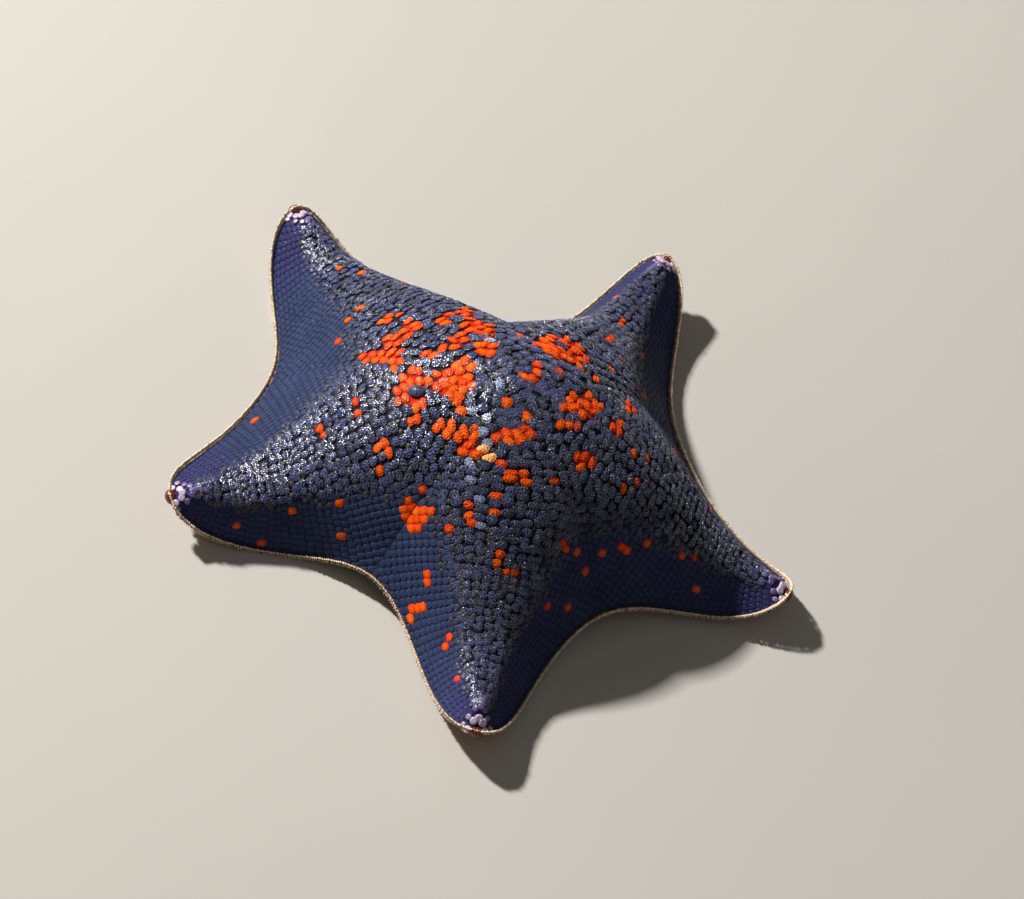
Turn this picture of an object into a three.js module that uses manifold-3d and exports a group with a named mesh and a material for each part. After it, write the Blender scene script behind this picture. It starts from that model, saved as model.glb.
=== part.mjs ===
// Blue bat star (Patiria pectinifera), whole and life size, lying still with its five broad arms
// draped and their tips curled up. Millimetres, +Z up. The front arm points to the front and
// right, and the undersides of the arms rest on Z = 0.

import * as THREE from 'three';
import { mergeVertices } from 'three/addons/utils/BufferGeometryUtils.js';
import Module from 'manifold-3d';

const { clamp, degToRad, smoothstep } = THREE.MathUtils;

// ---- Driving dimensions -----------------------------------------------------------------------

// One entry for each arm, counter-clockwise from above. bearing: where it points, in degrees from
// +X. length: from the centre of the disc to the tip, along the arm. low: how far along the arm
// its underside meets the floor. lift: how high the underside curls at the tip. sweep and twist:
// its sideways bend and its roll at the tip, in degrees. notch: how far from the centre the edge
// dips between this arm and the next.
const ARMS = [
  { name: 'front', bearing: -72.5, length: 50, low: 34, lift: 4.6, sweep: -3, twist: 0, notch: 29.5 },
  { name: 'right', bearing: 0, length: 50.5, low: 39, lift: 4.5, sweep: -4, twist: -7, notch: 32 },
  { name: 'back_right', bearing: 72.5, length: 53, low: 34, lift: 6.3, sweep: 7, twist: -1, notch: 24 },
  { name: 'back_left', bearing: 142.5, length: 53, low: 38.5, lift: 5.6, sweep: 5, twist: -7, notch: 34 },
  { name: 'left', bearing: 216, length: 51, low: 34.5, lift: 5.1, sweep: 1, twist: -9, notch: 28 },
];
const SECTOR = degToRad(72);           // each arm's share of the disc before it is draped
const DISC_CENTRE = { x: -3.33, y: -1.26 }; // set so that the whole animal's box is centred on the origin

const DISC_THICKNESS = 15;             // at the centre of the disc
const TIP_THICKNESS = 4;               // where the crest of an arm ends
const CREST_FALL = 1.5;                // how fast the crest thins along the arm, as a power
const FLANK_ROUND = 1.9;               // shape of a flank from crest to edge, as powers
const FLANK_FALL = 1.06;
const EDGE_HEIGHT = 1;                 // the edge's height over the underside
const EDGE_ROUND = 6;                  // how tightly the underside turns up to the edge, as a power
const NOTCH_ROUND = 12.5;              // Bezier handles of the outline, at a notch and at a tip
const TIP_ROUND = 6.6;
const TIP_LEAD = 2.5;                  // from the end of the crest to the tip
const ARCH = 9.6;                      // height of the disc's underside over the floor
const TWIST_START = 8;                 // an arm keeps level this far out
const FLAT_DEPTH = 0.2;                // the body settles this much, which makes its resting flats

const GROOVE_HALF_WIDTH = 2.2;         // ambulacral groove under each arm
const GROOVE_DEPTH = 2.4;
const MOUTH_RADIUS = 3.6;              // pit in the middle of the underside
const MOUTH_DEPTH = 3.4;

const FOOT_RADIUS = 0.36;              // tube feet, in two rows along each groove
const SUCKER_RADIUS = 0.62;
const SUCKER_HEIGHT = 0.5;
const FOOT_SPACING = 4;
const FOOT_OFFSET = 1.15;
const FOOT_LENGTH = 3;
const FOOT_ROOT = 0.7;                 // how deep a foot is rooted in the body

const PART_GAP = 0.3;                  // thin cut between neighbouring pieces
const ARM_CUT = 0.8;                   // the arms are parted this far out from their notches

const JAW_INNER = 2.2;                 // jaws round the mouth, one facing each notch
const JAW_OUTER = 6.6;
const JAW_HALF_WIDTH = 2.4;
const JAW_HEIGHT = 2.6;

const MADREPORITE_ARM = 4;             // it lies on the clockwise flank of this arm's root
const MADREPORITE_ALONG = 0.1;         // its place from notch to tip, and from crest to edge
const MADREPORITE_OUT = 0.123;
const MADREPORITE_SIZE = { x: 1.35, y: 0.95, z: 0.7 };
const EYESPOT_SIZE = { x: 0.9, y: 1.15, z: 0.8 };
const EYESPOT_INSET = 0.35;            // from the very tip
const EYESPOT_HEIGHT = 0.95;

const ROWS = 13;                       // facets from a notch to a tip
const FLANK_COLUMNS = 6;               // facets from crest to edge
const GROOVE_COLUMNS = 2;              // facets across half a groove
const SOLE_COLUMNS = 3;                // facets from groove to edge

// ---- Materials --------------------------------------------------------------------------------

const skin = new THREE.MeshStandardMaterial({ color: 0x2b3052, roughness: 0.3 });
const eyespotSkin = new THREE.MeshStandardMaterial({ color: 0xb8562a, roughness: 0.3 });
const pore = new THREE.MeshStandardMaterial({ color: 0x77809c, roughness: 0.4 });
const bone = new THREE.MeshStandardMaterial({ color: 0xc98f4a, roughness: 0.5 });

// ---- The body's surface, laid flat and then draped ----------------------------------------------

const armAt = (index) => ARMS[(index + ARMS.length) % ARMS.length];

function notchBeside(index, side) {
  return side > 0 ? armAt(index).notch : armAt(index - 1).notch;
}

// Half an arm's outline, from its notch (0) to its tip (1): x runs along the arm, y across it.
function outlinePoint(index, side, along) {
  const arm = armAt(index);
  const notch = notchBeside(index, side);
  const bisector = SECTOR / 2;
  const root = new THREE.Vector2(notch * Math.cos(bisector), notch * Math.sin(bisector));
  const rootHandle = new THREE.Vector2(Math.sin(bisector), -Math.cos(bisector));
  const tip = new THREE.Vector2(arm.length, 0);
  const curve = new THREE.CubicBezierCurve(
    root,
    rootHandle.multiplyScalar(NOTCH_ROUND).add(root),
    new THREE.Vector2(arm.length, TIP_ROUND),
    tip,
  );
  return curve.getPoint(along);
}

// Each point of the outline is joined to a point of the crest, nearer the centre. Both flanks of
// an arm share the crest.
function crestStation(index, along) {
  const stations = [-1, 1].map((side) => {
    const inner = notchBeside(index, side) * Math.cos(SECTOR / 2) - TIP_LEAD;
    return outlinePoint(index, side, along).x - inner * (1 - along) ** 2 - TIP_LEAD;
  });
  return (stations[0] + stations[1]) / 2;
}

function crestHeight(arm, station) {
  const fall = clamp(station / arm.length, 0, 1) ** CREST_FALL;
  return TIP_THICKNESS + (DISC_THICKNESS - TIP_THICKNESS) * (1 - fall);
}

function flankHeight(arm, station, out) {
  const rise = crestHeight(arm, station) - EDGE_HEIGHT;
  return EDGE_HEIGHT + rise * (1 - out ** FLANK_ROUND) ** FLANK_FALL;
}

function undersideHeight(arm, s, across, out) {
  const taper = 1 - 0.6 * smoothstep(s, arm.length * 0.6, arm.length);
  const groove = GROOVE_DEPTH * taper * (1 - smoothstep(Math.abs(across), 0, GROOVE_HALF_WIDTH));
  const mouth = MOUTH_DEPTH * (1 - smoothstep(Math.hypot(s, across), 0, MOUTH_RADIUS));
  return Math.max(groove, mouth, EDGE_HEIGHT * out ** EDGE_ROUND);
}

// An arm's centreline first falls in a smooth step from the arch to the floor, and then curls up.
// These are its height over the floor, and its pitch in radians.
function centreHeight(arm, s) {
  const curl = Math.max(0, (s - arm.low) / (arm.length - arm.low));
  return ARCH * (1 - smoothstep(s, 0, arm.low)) + arm.lift * curl ** 2;
}

function centrePitch(arm, s) {
  const fall = clamp(s / arm.low, 0, 1);
  const curl = Math.max(0, (s - arm.low) / (arm.length - arm.low));
  const slope = (2 * arm.lift * curl) / (arm.length - arm.low) - (6 * ARCH * fall * (1 - fall)) / arm.low;
  return Math.asin(slope);
}

function centreHeading(arm, s) {
  return degToRad(arm.sweep) * (s / arm.length) ** 2;
}

// The centreline's run over the floor, added up in short steps.
function centreRun(arm, s) {
  const steps = 24;
  const step = s / steps;
  const run = new THREE.Vector3();
  for (let i = 0; i < steps; i += 1) {
    const middle = (i + 0.5) * step;
    const advance = step * Math.cos(centrePitch(arm, middle));
    const heading = centreHeading(arm, middle);
    run.x += advance * Math.cos(heading);
    run.y += advance * Math.sin(heading);
  }
  return run;
}

// A point of one draped arm: s along its centreline, across it, and up from its underside.
function drapedPoint(arm, s, across, up) {
  const station = clamp(s, 0, arm.length);
  const heading = centreHeading(arm, station);
  const pitch = centrePitch(arm, station);
  const twist = degToRad(arm.twist) * smoothstep(station, TWIST_START, arm.length);
  const level = new THREE.Vector3(-Math.sin(heading), Math.cos(heading), 0);
  const normal = new THREE.Vector3(
    -Math.sin(pitch) * Math.cos(heading),
    -Math.sin(pitch) * Math.sin(heading),
    Math.cos(pitch),
  );
  const lateral = level.clone().multiplyScalar(Math.cos(twist)).addScaledVector(normal, Math.sin(twist));
  normal.multiplyScalar(Math.cos(twist)).addScaledVector(level, -Math.sin(twist));
  const point = centreRun(arm, station);
  point.z = centreHeight(arm, station);
  point.addScaledVector(lateral, across).addScaledVector(normal, up);
  return point.applyAxisAngle(new THREE.Vector3(0, 0, 1), degToRad(arm.bearing));
}

// The body's point: neighbouring arms share the disc, each by how nearly the point faces it.
function bodyPoint(index, s, across, up) {
  const radius = Math.hypot(s, across);
  const angle = Math.atan2(across, s);
  const point = new THREE.Vector3();
  for (const turn of [-1, 0, 1]) {
    const offset = angle - turn * SECTOR;
    if (Math.abs(offset) < SECTOR) {
      const share = Math.cos((offset / SECTOR) * (Math.PI / 2)) ** 2;
      const arm = armAt(index + turn);
      const draped = drapedPoint(arm, radius * Math.cos(offset), radius * Math.sin(offset), up);
      point.addScaledVector(draped, share);
    }
  }
  point.x += DISC_CENTRE.x;
  point.y += DISC_CENTRE.y;
  point.z = Math.max(0, point.z - FLAT_DEPTH);
  return point;
}

// A point of the body's top: along the outline from notch (0) to tip (1), and out from crest (0)
// to edge (1).
function topPoint(index, side, along, out) {
  const arm = armAt(index);
  const edge = outlinePoint(index, side, along);
  const station = crestStation(index, along);
  const s = station + out * (edge.x - station);
  return bodyPoint(index, s, side * out * edge.y, flankHeight(arm, station, out));
}

function undersidePoint(index, side, along, out) {
  const arm = armAt(index);
  const edge = outlinePoint(index, side, along);
  const station = crestStation(index, along);
  const s = station + out * (edge.x - station);
  const across = out * edge.y;
  return bodyPoint(index, s, side * across, undersideHeight(arm, s, across, out));
}

// Columns of the underside: close together in the groove, and wider out to the edge.
function soleColumns(index, side, along) {
  const halfWidth = outlinePoint(index, side, along).y;
  const grooveShare = halfWidth > 0 ? Math.min(GROOVE_HALF_WIDTH / halfWidth, 0.5) : 0.5;
  const columns = [];
  for (let j = 0; j <= GROOVE_COLUMNS; j += 1) {
    columns.push((grooveShare * j) / GROOVE_COLUMNS);
  }
  for (let j = 1; j <= SOLE_COLUMNS; j += 1) {
    columns.push(grooveShare + ((1 - grooveShare) * j) / SOLE_COLUMNS);
  }
  return columns;
}

// ---- Solids -------------------------------------------------------------------------------------

const wasm = await Module();
wasm.setup();

function toSolid(geometry) {
  const bare = geometry.clone();
  bare.deleteAttribute('normal');
  bare.deleteAttribute('uv');
  const merged = mergeVertices(bare, 1e-3);
  const mesh = new wasm.Mesh({
    numProp: 3,
    vertProperties: new Float32Array(merged.attributes.position.array),
    triVerts: new Uint32Array(merged.index.array),
  });
  mesh.merge();
  return new wasm.Manifold(mesh);
}

function toGeometry(solid) {
  const mesh = solid.getMesh();
  const geometry = new THREE.BufferGeometry();
  geometry.setAttribute('position', new THREE.BufferAttribute(mesh.vertProperties, 3));
  geometry.setIndex(new THREE.BufferAttribute(mesh.triVerts, 1));
  geometry.computeVertexNormals();
  return geometry;
}

// Adds a grid of points as triangles. The flag turns them over, so that they face outward.
function addGrid(positions, grid, flipped) {
  for (let i = 0; i + 1 < grid.length; i += 1) {
    for (let j = 0; j + 1 < grid[i].length; j += 1) {
      const corners = [grid[i][j], grid[i + 1][j], grid[i + 1][j + 1], grid[i][j + 1]];
      if (flipped) {
        corners.reverse();
      }
      const [a, b, c, d] = corners;
      positions.push(...a, ...b, ...c, ...a, ...c, ...d);
    }
  }
}

function wholeBody() {
  const positions = [];
  ARMS.forEach((arm, index) => {
    for (const side of [-1, 1]) {
      const top = [];
      const underside = [];
      for (let i = 0; i <= ROWS; i += 1) {
        const along = i / ROWS;
        const flank = Array.from({ length: FLANK_COLUMNS + 1 }, (_, j) => j / FLANK_COLUMNS);
        top.push(flank.map((out) => topPoint(index, side, along, out)));
        const sole = soleColumns(index, side, along);
        underside.push(sole.map((out) => undersidePoint(index, side, along, out)));
      }
      addGrid(positions, top, side < 0);
      addGrid(positions, underside, side > 0);
    }
  });
  const geometry = new THREE.BufferGeometry();
  geometry.setAttribute('position', new THREE.Float32BufferAttribute(positions, 3));
  return toSolid(geometry);
}

// A tube foot hangs straight down from the roof of its groove, and stands on the floor if it
// reaches it.
function tubeFoot(index, s, across) {
  const roof = bodyPoint(index, s, across, GROOVE_DEPTH * 0.5 + FOOT_ROOT);
  const length = Math.min(roof.z, FOOT_LENGTH + FOOT_ROOT);
  const profile = [
    new THREE.Vector2(0, 0),
    new THREE.Vector2(SUCKER_RADIUS, 0),
    new THREE.Vector2(FOOT_RADIUS, SUCKER_HEIGHT),
    new THREE.Vector2(FOOT_RADIUS, length),
    new THREE.Vector2(0, length),
  ];
  const foot = new THREE.LatheGeometry(profile, 5);
  foot.rotateX(Math.PI / 2);
  foot.translate(roof.x, roof.y, roof.z - length);
  return toSolid(foot);
}

// The line across an arm's root, just outside its two notches.
function armRootLine(index, extra) {
  const bearing = degToRad(ARMS[index].bearing);
  const outward = new THREE.Vector2(Math.cos(bearing), Math.sin(bearing)).multiplyScalar(ARM_CUT + extra);
  const ends = [-1, 1].map((side) => {
    const notch = topPoint(index, side, 0, 1);
    return new THREE.Vector2(notch.x, notch.y).add(outward);
  });
  const overhang = ends[1].clone().sub(ends[0]).setLength(2);
  return [ends[0].sub(overhang), ends[1].add(overhang)];
}

function prism(corners, bottom, top) {
  const geometry = new THREE.ExtrudeGeometry(new THREE.Shape(corners), {
    depth: top - bottom,
    bevelEnabled: false,
  });
  geometry.translate(0, 0, bottom);
  return toSolid(geometry);
}

// Everything beyond an arm's root line.
function armCutter(index, extra) {
  const bearing = degToRad(ARMS[index].bearing);
  const reach = new THREE.Vector2(Math.cos(bearing), Math.sin(bearing)).multiplyScalar(80);
  const [right, left] = armRootLine(index, extra);
  return prism([right, right.clone().add(reach), left.clone().add(reach), left], -5, 60);
}

// A wedge between two grooves, pointing at the mouth.
function jawCutter(index, grow) {
  const corners = [
    new THREE.Vector2(JAW_INNER - 2 * grow, 0),
    new THREE.Vector2(JAW_OUTER + grow, -JAW_HALF_WIDTH - grow),
    new THREE.Vector2(JAW_OUTER + grow, JAW_HALF_WIDTH + grow),
  ];
  const centre = new THREE.Vector2(DISC_CENTRE.x, DISC_CENTRE.y);
  const notch = topPoint(index, 1, 0, 1);
  const bearing = Math.atan2(notch.y - centre.y, notch.x - centre.x);
  const placed = corners.map((corner) => corner.rotateAround(new THREE.Vector2(), bearing).add(centre));
  return prism(placed, -5, ARCH + JAW_HEIGHT + grow);
}

// An ellipsoid set in the skin, turned to lie along it.
function button(size, grow, at, along, normal) {
  const geometry = new THREE.SphereGeometry(1, 10, 6);
  geometry.scale(size.x + grow, size.y + grow, size.z + grow);
  const across = new THREE.Vector3().crossVectors(normal, along).normalize();
  const forward = new THREE.Vector3().crossVectors(across, normal);
  geometry.applyMatrix4(new THREE.Matrix4().makeBasis(forward, across, normal).setPosition(at));
  return toSolid(geometry);
}

function madreporite(grow) {
  const at = topPoint(MADREPORITE_ARM, -1, MADREPORITE_ALONG, MADREPORITE_OUT);
  const outward = topPoint(MADREPORITE_ARM, -1, MADREPORITE_ALONG, MADREPORITE_OUT + 0.05);
  const along = outward.sub(at).normalize();
  const aside = topPoint(MADREPORITE_ARM, -1, MADREPORITE_ALONG + 0.05, MADREPORITE_OUT).sub(at);
  const normal = new THREE.Vector3().crossVectors(aside, along).normalize();
  return button(MADREPORITE_SIZE, grow, at, along, normal);
}

function eyespot(index, grow) {
  const { length } = ARMS[index];
  const at = bodyPoint(index, length - EYESPOT_INSET, 0, EYESPOT_HEIGHT);
  const inner = bodyPoint(index, length - 4, 0, EYESPOT_HEIGHT);
  const along = at.clone().sub(inner).normalize();
  const left = bodyPoint(index, length - 1, 1, EYESPOT_HEIGHT);
  const right = bodyPoint(index, length - 1, -1, EYESPOT_HEIGHT);
  const normal = new THREE.Vector3().crossVectors(along, left.sub(right)).normalize();
  return button(EYESPOT_SIZE, grow, at, along, normal);
}

// ---- The animal ---------------------------------------------------------------------------------

const star = new THREE.Group();

function addPart(name, solid, material) {
  const mesh = new THREE.Mesh(toGeometry(solid), material);
  mesh.name = name;
  star.add(mesh);
}

let body = wholeBody();
let disc = body;

ARMS.forEach((arm, index) => {
  const rootLine = armRootLine(index, PART_GAP / 2);
  const centre = new THREE.Vector2(DISC_CENTRE.x, DISC_CENTRE.y);
  const rootStation = rootLine[0].add(rootLine[1]).multiplyScalar(0.5).distanceTo(centre);
  for (let s = rootStation + FOOT_SPACING / 2; s < arm.length - 5; s += FOOT_SPACING) {
    for (const across of [-FOOT_OFFSET, FOOT_OFFSET]) {
      body = body.add(tubeFoot(index, s, across));
    }
  }
  for (let s = rootStation - FOOT_SPACING / 2; s > MOUTH_RADIUS + 2; s -= FOOT_SPACING) {
    for (const across of [-FOOT_OFFSET, FOOT_OFFSET]) {
      disc = disc.add(tubeFoot(index, s, across));
    }
  }
});

ARMS.forEach((arm, index) => {
  disc = disc.subtract(armCutter(index, 0)).subtract(jawCutter(index, PART_GAP));
  const limb = body.intersect(armCutter(index, PART_GAP)).subtract(eyespot(index, PART_GAP));
  addPart(`arm_${arm.name}`, limb, skin);
  addPart(`eyespot_${arm.name}`, eyespot(index, 0), eyespotSkin);
  addPart(`jaw_${index + 1}`, body.intersect(jawCutter(index, 0)), bone);
});
addPart('disc', disc.subtract(madreporite(PART_GAP)), skin);
addPart('madreporite', madreporite(0), pore);

export default star;
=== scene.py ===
"""A blue bat star, life size, lying still with its arms draped and their tips curled up.

Its solids are dressed with skin, plates, granules, fringe, mouth parts and tube feet. Lengths are
in millimetres, in the frame of the solids, until a mesh is made.
"""

import math

import bpy
import numpy as np
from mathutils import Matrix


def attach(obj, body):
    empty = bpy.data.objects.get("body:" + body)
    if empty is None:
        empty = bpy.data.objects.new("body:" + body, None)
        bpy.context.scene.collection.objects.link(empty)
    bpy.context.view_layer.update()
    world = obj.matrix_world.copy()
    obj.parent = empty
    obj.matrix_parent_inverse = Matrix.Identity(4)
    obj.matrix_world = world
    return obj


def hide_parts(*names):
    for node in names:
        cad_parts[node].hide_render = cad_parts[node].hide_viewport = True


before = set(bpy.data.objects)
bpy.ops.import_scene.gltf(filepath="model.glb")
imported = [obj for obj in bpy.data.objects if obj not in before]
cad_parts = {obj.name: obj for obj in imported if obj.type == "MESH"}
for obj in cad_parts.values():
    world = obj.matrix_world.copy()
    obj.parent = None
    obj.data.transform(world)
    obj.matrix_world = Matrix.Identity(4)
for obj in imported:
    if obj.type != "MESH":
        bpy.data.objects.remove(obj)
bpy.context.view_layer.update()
bpy.ops.object.select_all(action="DESELECT")

# ---- Skin -------------------------------------------------------------------------------------
# The leathery skin covers disc, arms and underside in one sheet. It is soft tissue over a skeleton
# of small plates, so it lies just inside the animal's outline, and shows as dark lines between the
# plates above, darkened further on the ridges by painted shade, and as ochre below. The animal
# grew it in one piece.

MM = 0.001
ARM_NAMES = ("front", "right", "back_right", "back_left", "left")
SECTOR = math.radians(72)
ARM_BEARING = np.radians([-72.5, 0, 72.5, 142.5, 216])
ARM_LENGTH = np.array([50, 50.5, 53, 53, 51])
ARM_LOW = np.array([34, 39, 34, 38.5, 34.5])
ARM_LIFT = np.array([4.6, 4.5, 6.3, 5.6, 5.1])
ARM_SWEEP = np.radians([-3, -4, 7, 5, 1])
ARM_TWIST = np.radians([0, -7, -1, -7, -9])
ARM_NOTCH = np.array([29.5, 32, 24, 34, 28])
DISC_CENTRE = (-3.33, -1.26)
DISC_THICKNESS = 15
TIP_THICKNESS = 4
CREST_FALL = 1.5
CREST_ROUND = 0.45
FLANK_ROUND = 1.9
FLANK_FALL = 1.06
EDGE_HEIGHT = 1
EDGE_ROUND = 6
NOTCH_ROUND = 12.5
TIP_ROUND = 6.6
TIP_LEAD = 2.5
ARCH = 9.6
TWIST_START = 8
FLAT_DEPTH = 0.2
GROOVE_HALF_WIDTH = 2.2
GROOVE_DEPTH = 2.4
MOUTH_RADIUS = 3.6
MOUTH_DEPTH = 3.4
SKIN_DEPTH = 0.3
SKIN_ROWS = 96
TOP_COLUMNS = 48
GROOVE_COLUMNS = 8
SOLE_COLUMNS = 16
UV_SCALE = 0.0054
TOP_UV_CENTRE = np.array([0.29, 0.29])
UNDERSIDE_UV_CENTRE = np.array([0.71, 0.71])
GROOVE_TIP_LOSS = 0.6
GROOVE_TAPER_START = 0.6
RIDGE_BORDER = 0.46
RIDGE_BORDER_AT_NOTCH = 0.12
RIDGE_BLUR = 0.12
TIP_START = 0.62
SKIN_ORANGE = 0.95
FLOOR_CLEARANCE = 0.01
COAT_ROUGHNESS = 0.12
UP = np.array([0, 0, 1.0])
HALF_ARMS = [(arm, side) for arm in range(5) for side in (-1, 1)]


def smooth(x, low, high):
    share = np.clip((x - low) / (high - low), 0, 1)
    return share * share * (3 - 2 * share)


def unit(vectors):
    return vectors / np.maximum(np.linalg.norm(vectors, axis=-1, keepdims=True), 1e-9)


def turned(first, second, angle):
    """Two directions at right angles, both turned by an angle from the first to the second."""
    cosine, sine = np.cos(angle)[..., None], np.sin(angle)[..., None]
    return first * cosine + second * sine, second * cosine - first * sine


def turned_plan(x, y, angle):
    """Places seen from above, turned about the centre."""
    return x * np.cos(angle) - y * np.sin(angle), x * np.sin(angle) + y * np.cos(angle)

def outline(arm, side, along):
    """Half an arm's edge, from its notch (0) to its tip (1): out along the arm, and across it."""
    notch = ARM_NOTCH[np.where(np.asarray(side) > 0, arm, np.asarray(arm) - 1)]
    bisector = SECTOR / 2
    rest = 1 - along
    root_x, root_y = notch * math.cos(bisector), notch * math.sin(bisector)
    handle_x = root_x + NOTCH_ROUND * math.sin(bisector)
    handle_y = root_y - NOTCH_ROUND * math.cos(bisector)
    x = rest**3 * root_x + 3 * rest**2 * along * handle_x
    x = x + (3 * rest * along**2 + along**3) * ARM_LENGTH[arm]
    y = rest**3 * root_y + 3 * rest**2 * along * handle_y + 3 * rest * along**2 * TIP_ROUND
    return x, y


def crest_station(arm, along):
    """Where the crest lies that a point of the edge is joined to. Both flanks share the crest."""
    total = 0
    for side in (-1, 1):
        inner = outline(arm, side, 0.0)[0] - TIP_LEAD
        total = total + outline(arm, side, along)[0] - inner * (1 - along) ** 2 - TIP_LEAD
    return total / 2


def centre_pitch(arm, s):
    fall = np.clip(s / ARM_LOW[arm], 0, 1)
    curl = np.maximum(0, (s - ARM_LOW[arm]) / (ARM_LENGTH[arm] - ARM_LOW[arm]))
    slope = 2 * ARM_LIFT[arm] * curl / (ARM_LENGTH[arm] - ARM_LOW[arm])
    return np.arcsin(slope - 6 * ARCH * fall * (1 - fall) / ARM_LOW[arm])


RUN_STEPS = 400
run_arms = np.arange(5)[:, None]
run_middles = (np.arange(RUN_STEPS) + 0.5) / RUN_STEPS * ARM_LENGTH[:, None]
run_headings = ARM_SWEEP[:, None] * (run_middles / ARM_LENGTH[:, None]) ** 2
run_advance = ARM_LENGTH[:, None] / RUN_STEPS * np.cos(centre_pitch(run_arms, run_middles))
run_x = np.pad(np.cumsum(run_advance * np.cos(run_headings), axis=1), ((0, 0), (1, 0)))
run_y = np.pad(np.cumsum(run_advance * np.sin(run_headings), axis=1), ((0, 0), (1, 0)))


def draped_point(arm, s, across, up):
    """A point of one draped arm: s along its centreline, across it, and up from its underside."""
    length = ARM_LENGTH[arm]
    station = np.clip(s, 0, length)
    step = station / length * RUN_STEPS
    whole = np.minimum(step.astype(int), RUN_STEPS - 1)
    part = step - whole
    x = run_x[arm, whole] * (1 - part) + run_x[arm, whole + 1] * part
    y = run_y[arm, whole] * (1 - part) + run_y[arm, whole + 1] * part
    curl = np.maximum(0, (station - ARM_LOW[arm]) / (length - ARM_LOW[arm]))
    z = ARCH * (1 - smooth(station, 0, ARM_LOW[arm])) + ARM_LIFT[arm] * curl**2
    heading = ARM_SWEEP[arm] * (station / length) ** 2
    pitch = centre_pitch(arm, station)
    twist = ARM_TWIST[arm] * smooth(station, TWIST_START, length)
    level = np.stack([-np.sin(heading), np.cos(heading), 0 * heading], -1)
    ahead = np.stack([np.cos(heading), np.sin(heading), 0 * heading], -1)
    lateral, normal = turned(level, turned(ahead, UP, pitch)[1], twist)
    point = np.stack([x, y, z], -1) + lateral * across[..., None] + normal * up[..., None]
    return np.stack([*turned_plan(point[..., 0], point[..., 1], ARM_BEARING[arm]), point[..., 2]], -1)


def body_point(arm, s, across, up):
    """The body's point: neighbouring arms share the disc, each by how nearly the point faces it."""
    arm, s, across, up = np.broadcast_arrays(arm, s, across, up)
    radius, angle = np.hypot(s, across), np.arctan2(across, s)
    point = np.zeros(radius.shape + (3,))
    for turn in (-1, 0, 1):
        offset = angle - turn * SECTOR
        share = np.where(abs(offset) < SECTOR, np.cos(offset / SECTOR * math.pi / 2) ** 2, 0)
        along, aside = radius * np.cos(offset), radius * np.sin(offset)
        point += draped_point((arm + turn) % 5, along, aside, up) * share[..., None]
    point[..., 0] += DISC_CENTRE[0]
    point[..., 1] += DISC_CENTRE[1]
    point[..., 2] = np.maximum(0, point[..., 2] - FLAT_DEPTH)
    return point


def sheet_place(arm, side, along, out):
    """Where a point from notch to tip, and from crest to edge, lies on the arm laid flat."""
    edge_x, edge_y = outline(arm, side, along)
    station = crest_station(arm, along)
    return station, station + out * (edge_x - station), side * out * edge_y


def top_point(arm, side, along, out):
    station, s, across = sheet_place(arm, side, along, out)
    abreast = station + (s - station) * (1 - smooth(out, 0, CREST_ROUND))
    fall = np.clip(abreast / ARM_LENGTH[arm], 0, 1) ** CREST_FALL
    crest = TIP_THICKNESS + (DISC_THICKNESS - TIP_THICKNESS) * (1 - fall)
    up = EDGE_HEIGHT + (crest - EDGE_HEIGHT) * (1 - out**FLANK_ROUND) ** FLANK_FALL
    return body_point(arm, s, across, up)


def groove_roof(arm, s, across):
    """How high the groove's roof lies above the underside. It comes down towards the tip."""
    share = 1 - GROOVE_TIP_LOSS * smooth(s, ARM_LENGTH[arm] * GROOVE_TAPER_START, ARM_LENGTH[arm])
    return GROOVE_DEPTH * share * (1 - smooth(abs(across), 0, GROOVE_HALF_WIDTH))


def underside_point(arm, side, along, out):
    station, s, across = sheet_place(arm, side, along, out)
    mouth = MOUTH_DEPTH * (1 - smooth(np.hypot(s, across), 0, MOUTH_RADIUS))
    hollow = np.maximum(groove_roof(arm, s, across), mouth)
    return body_point(arm, s, across, np.maximum(hollow, EDGE_HEIGHT * out**EDGE_ROUND))


def laid_flat(arm, s, across):
    """Places on the star with its arms laid out flat and straight, 72 degrees apart."""
    return np.stack(turned_plan(s, across, np.asarray(arm) * SECTOR), -1)


def star_uv(centre, arm, s, across):
    """Places on the map of the skin, where the star is laid flat round a centre."""
    return centre + laid_flat(arm, s, across) * UV_SCALE


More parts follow.
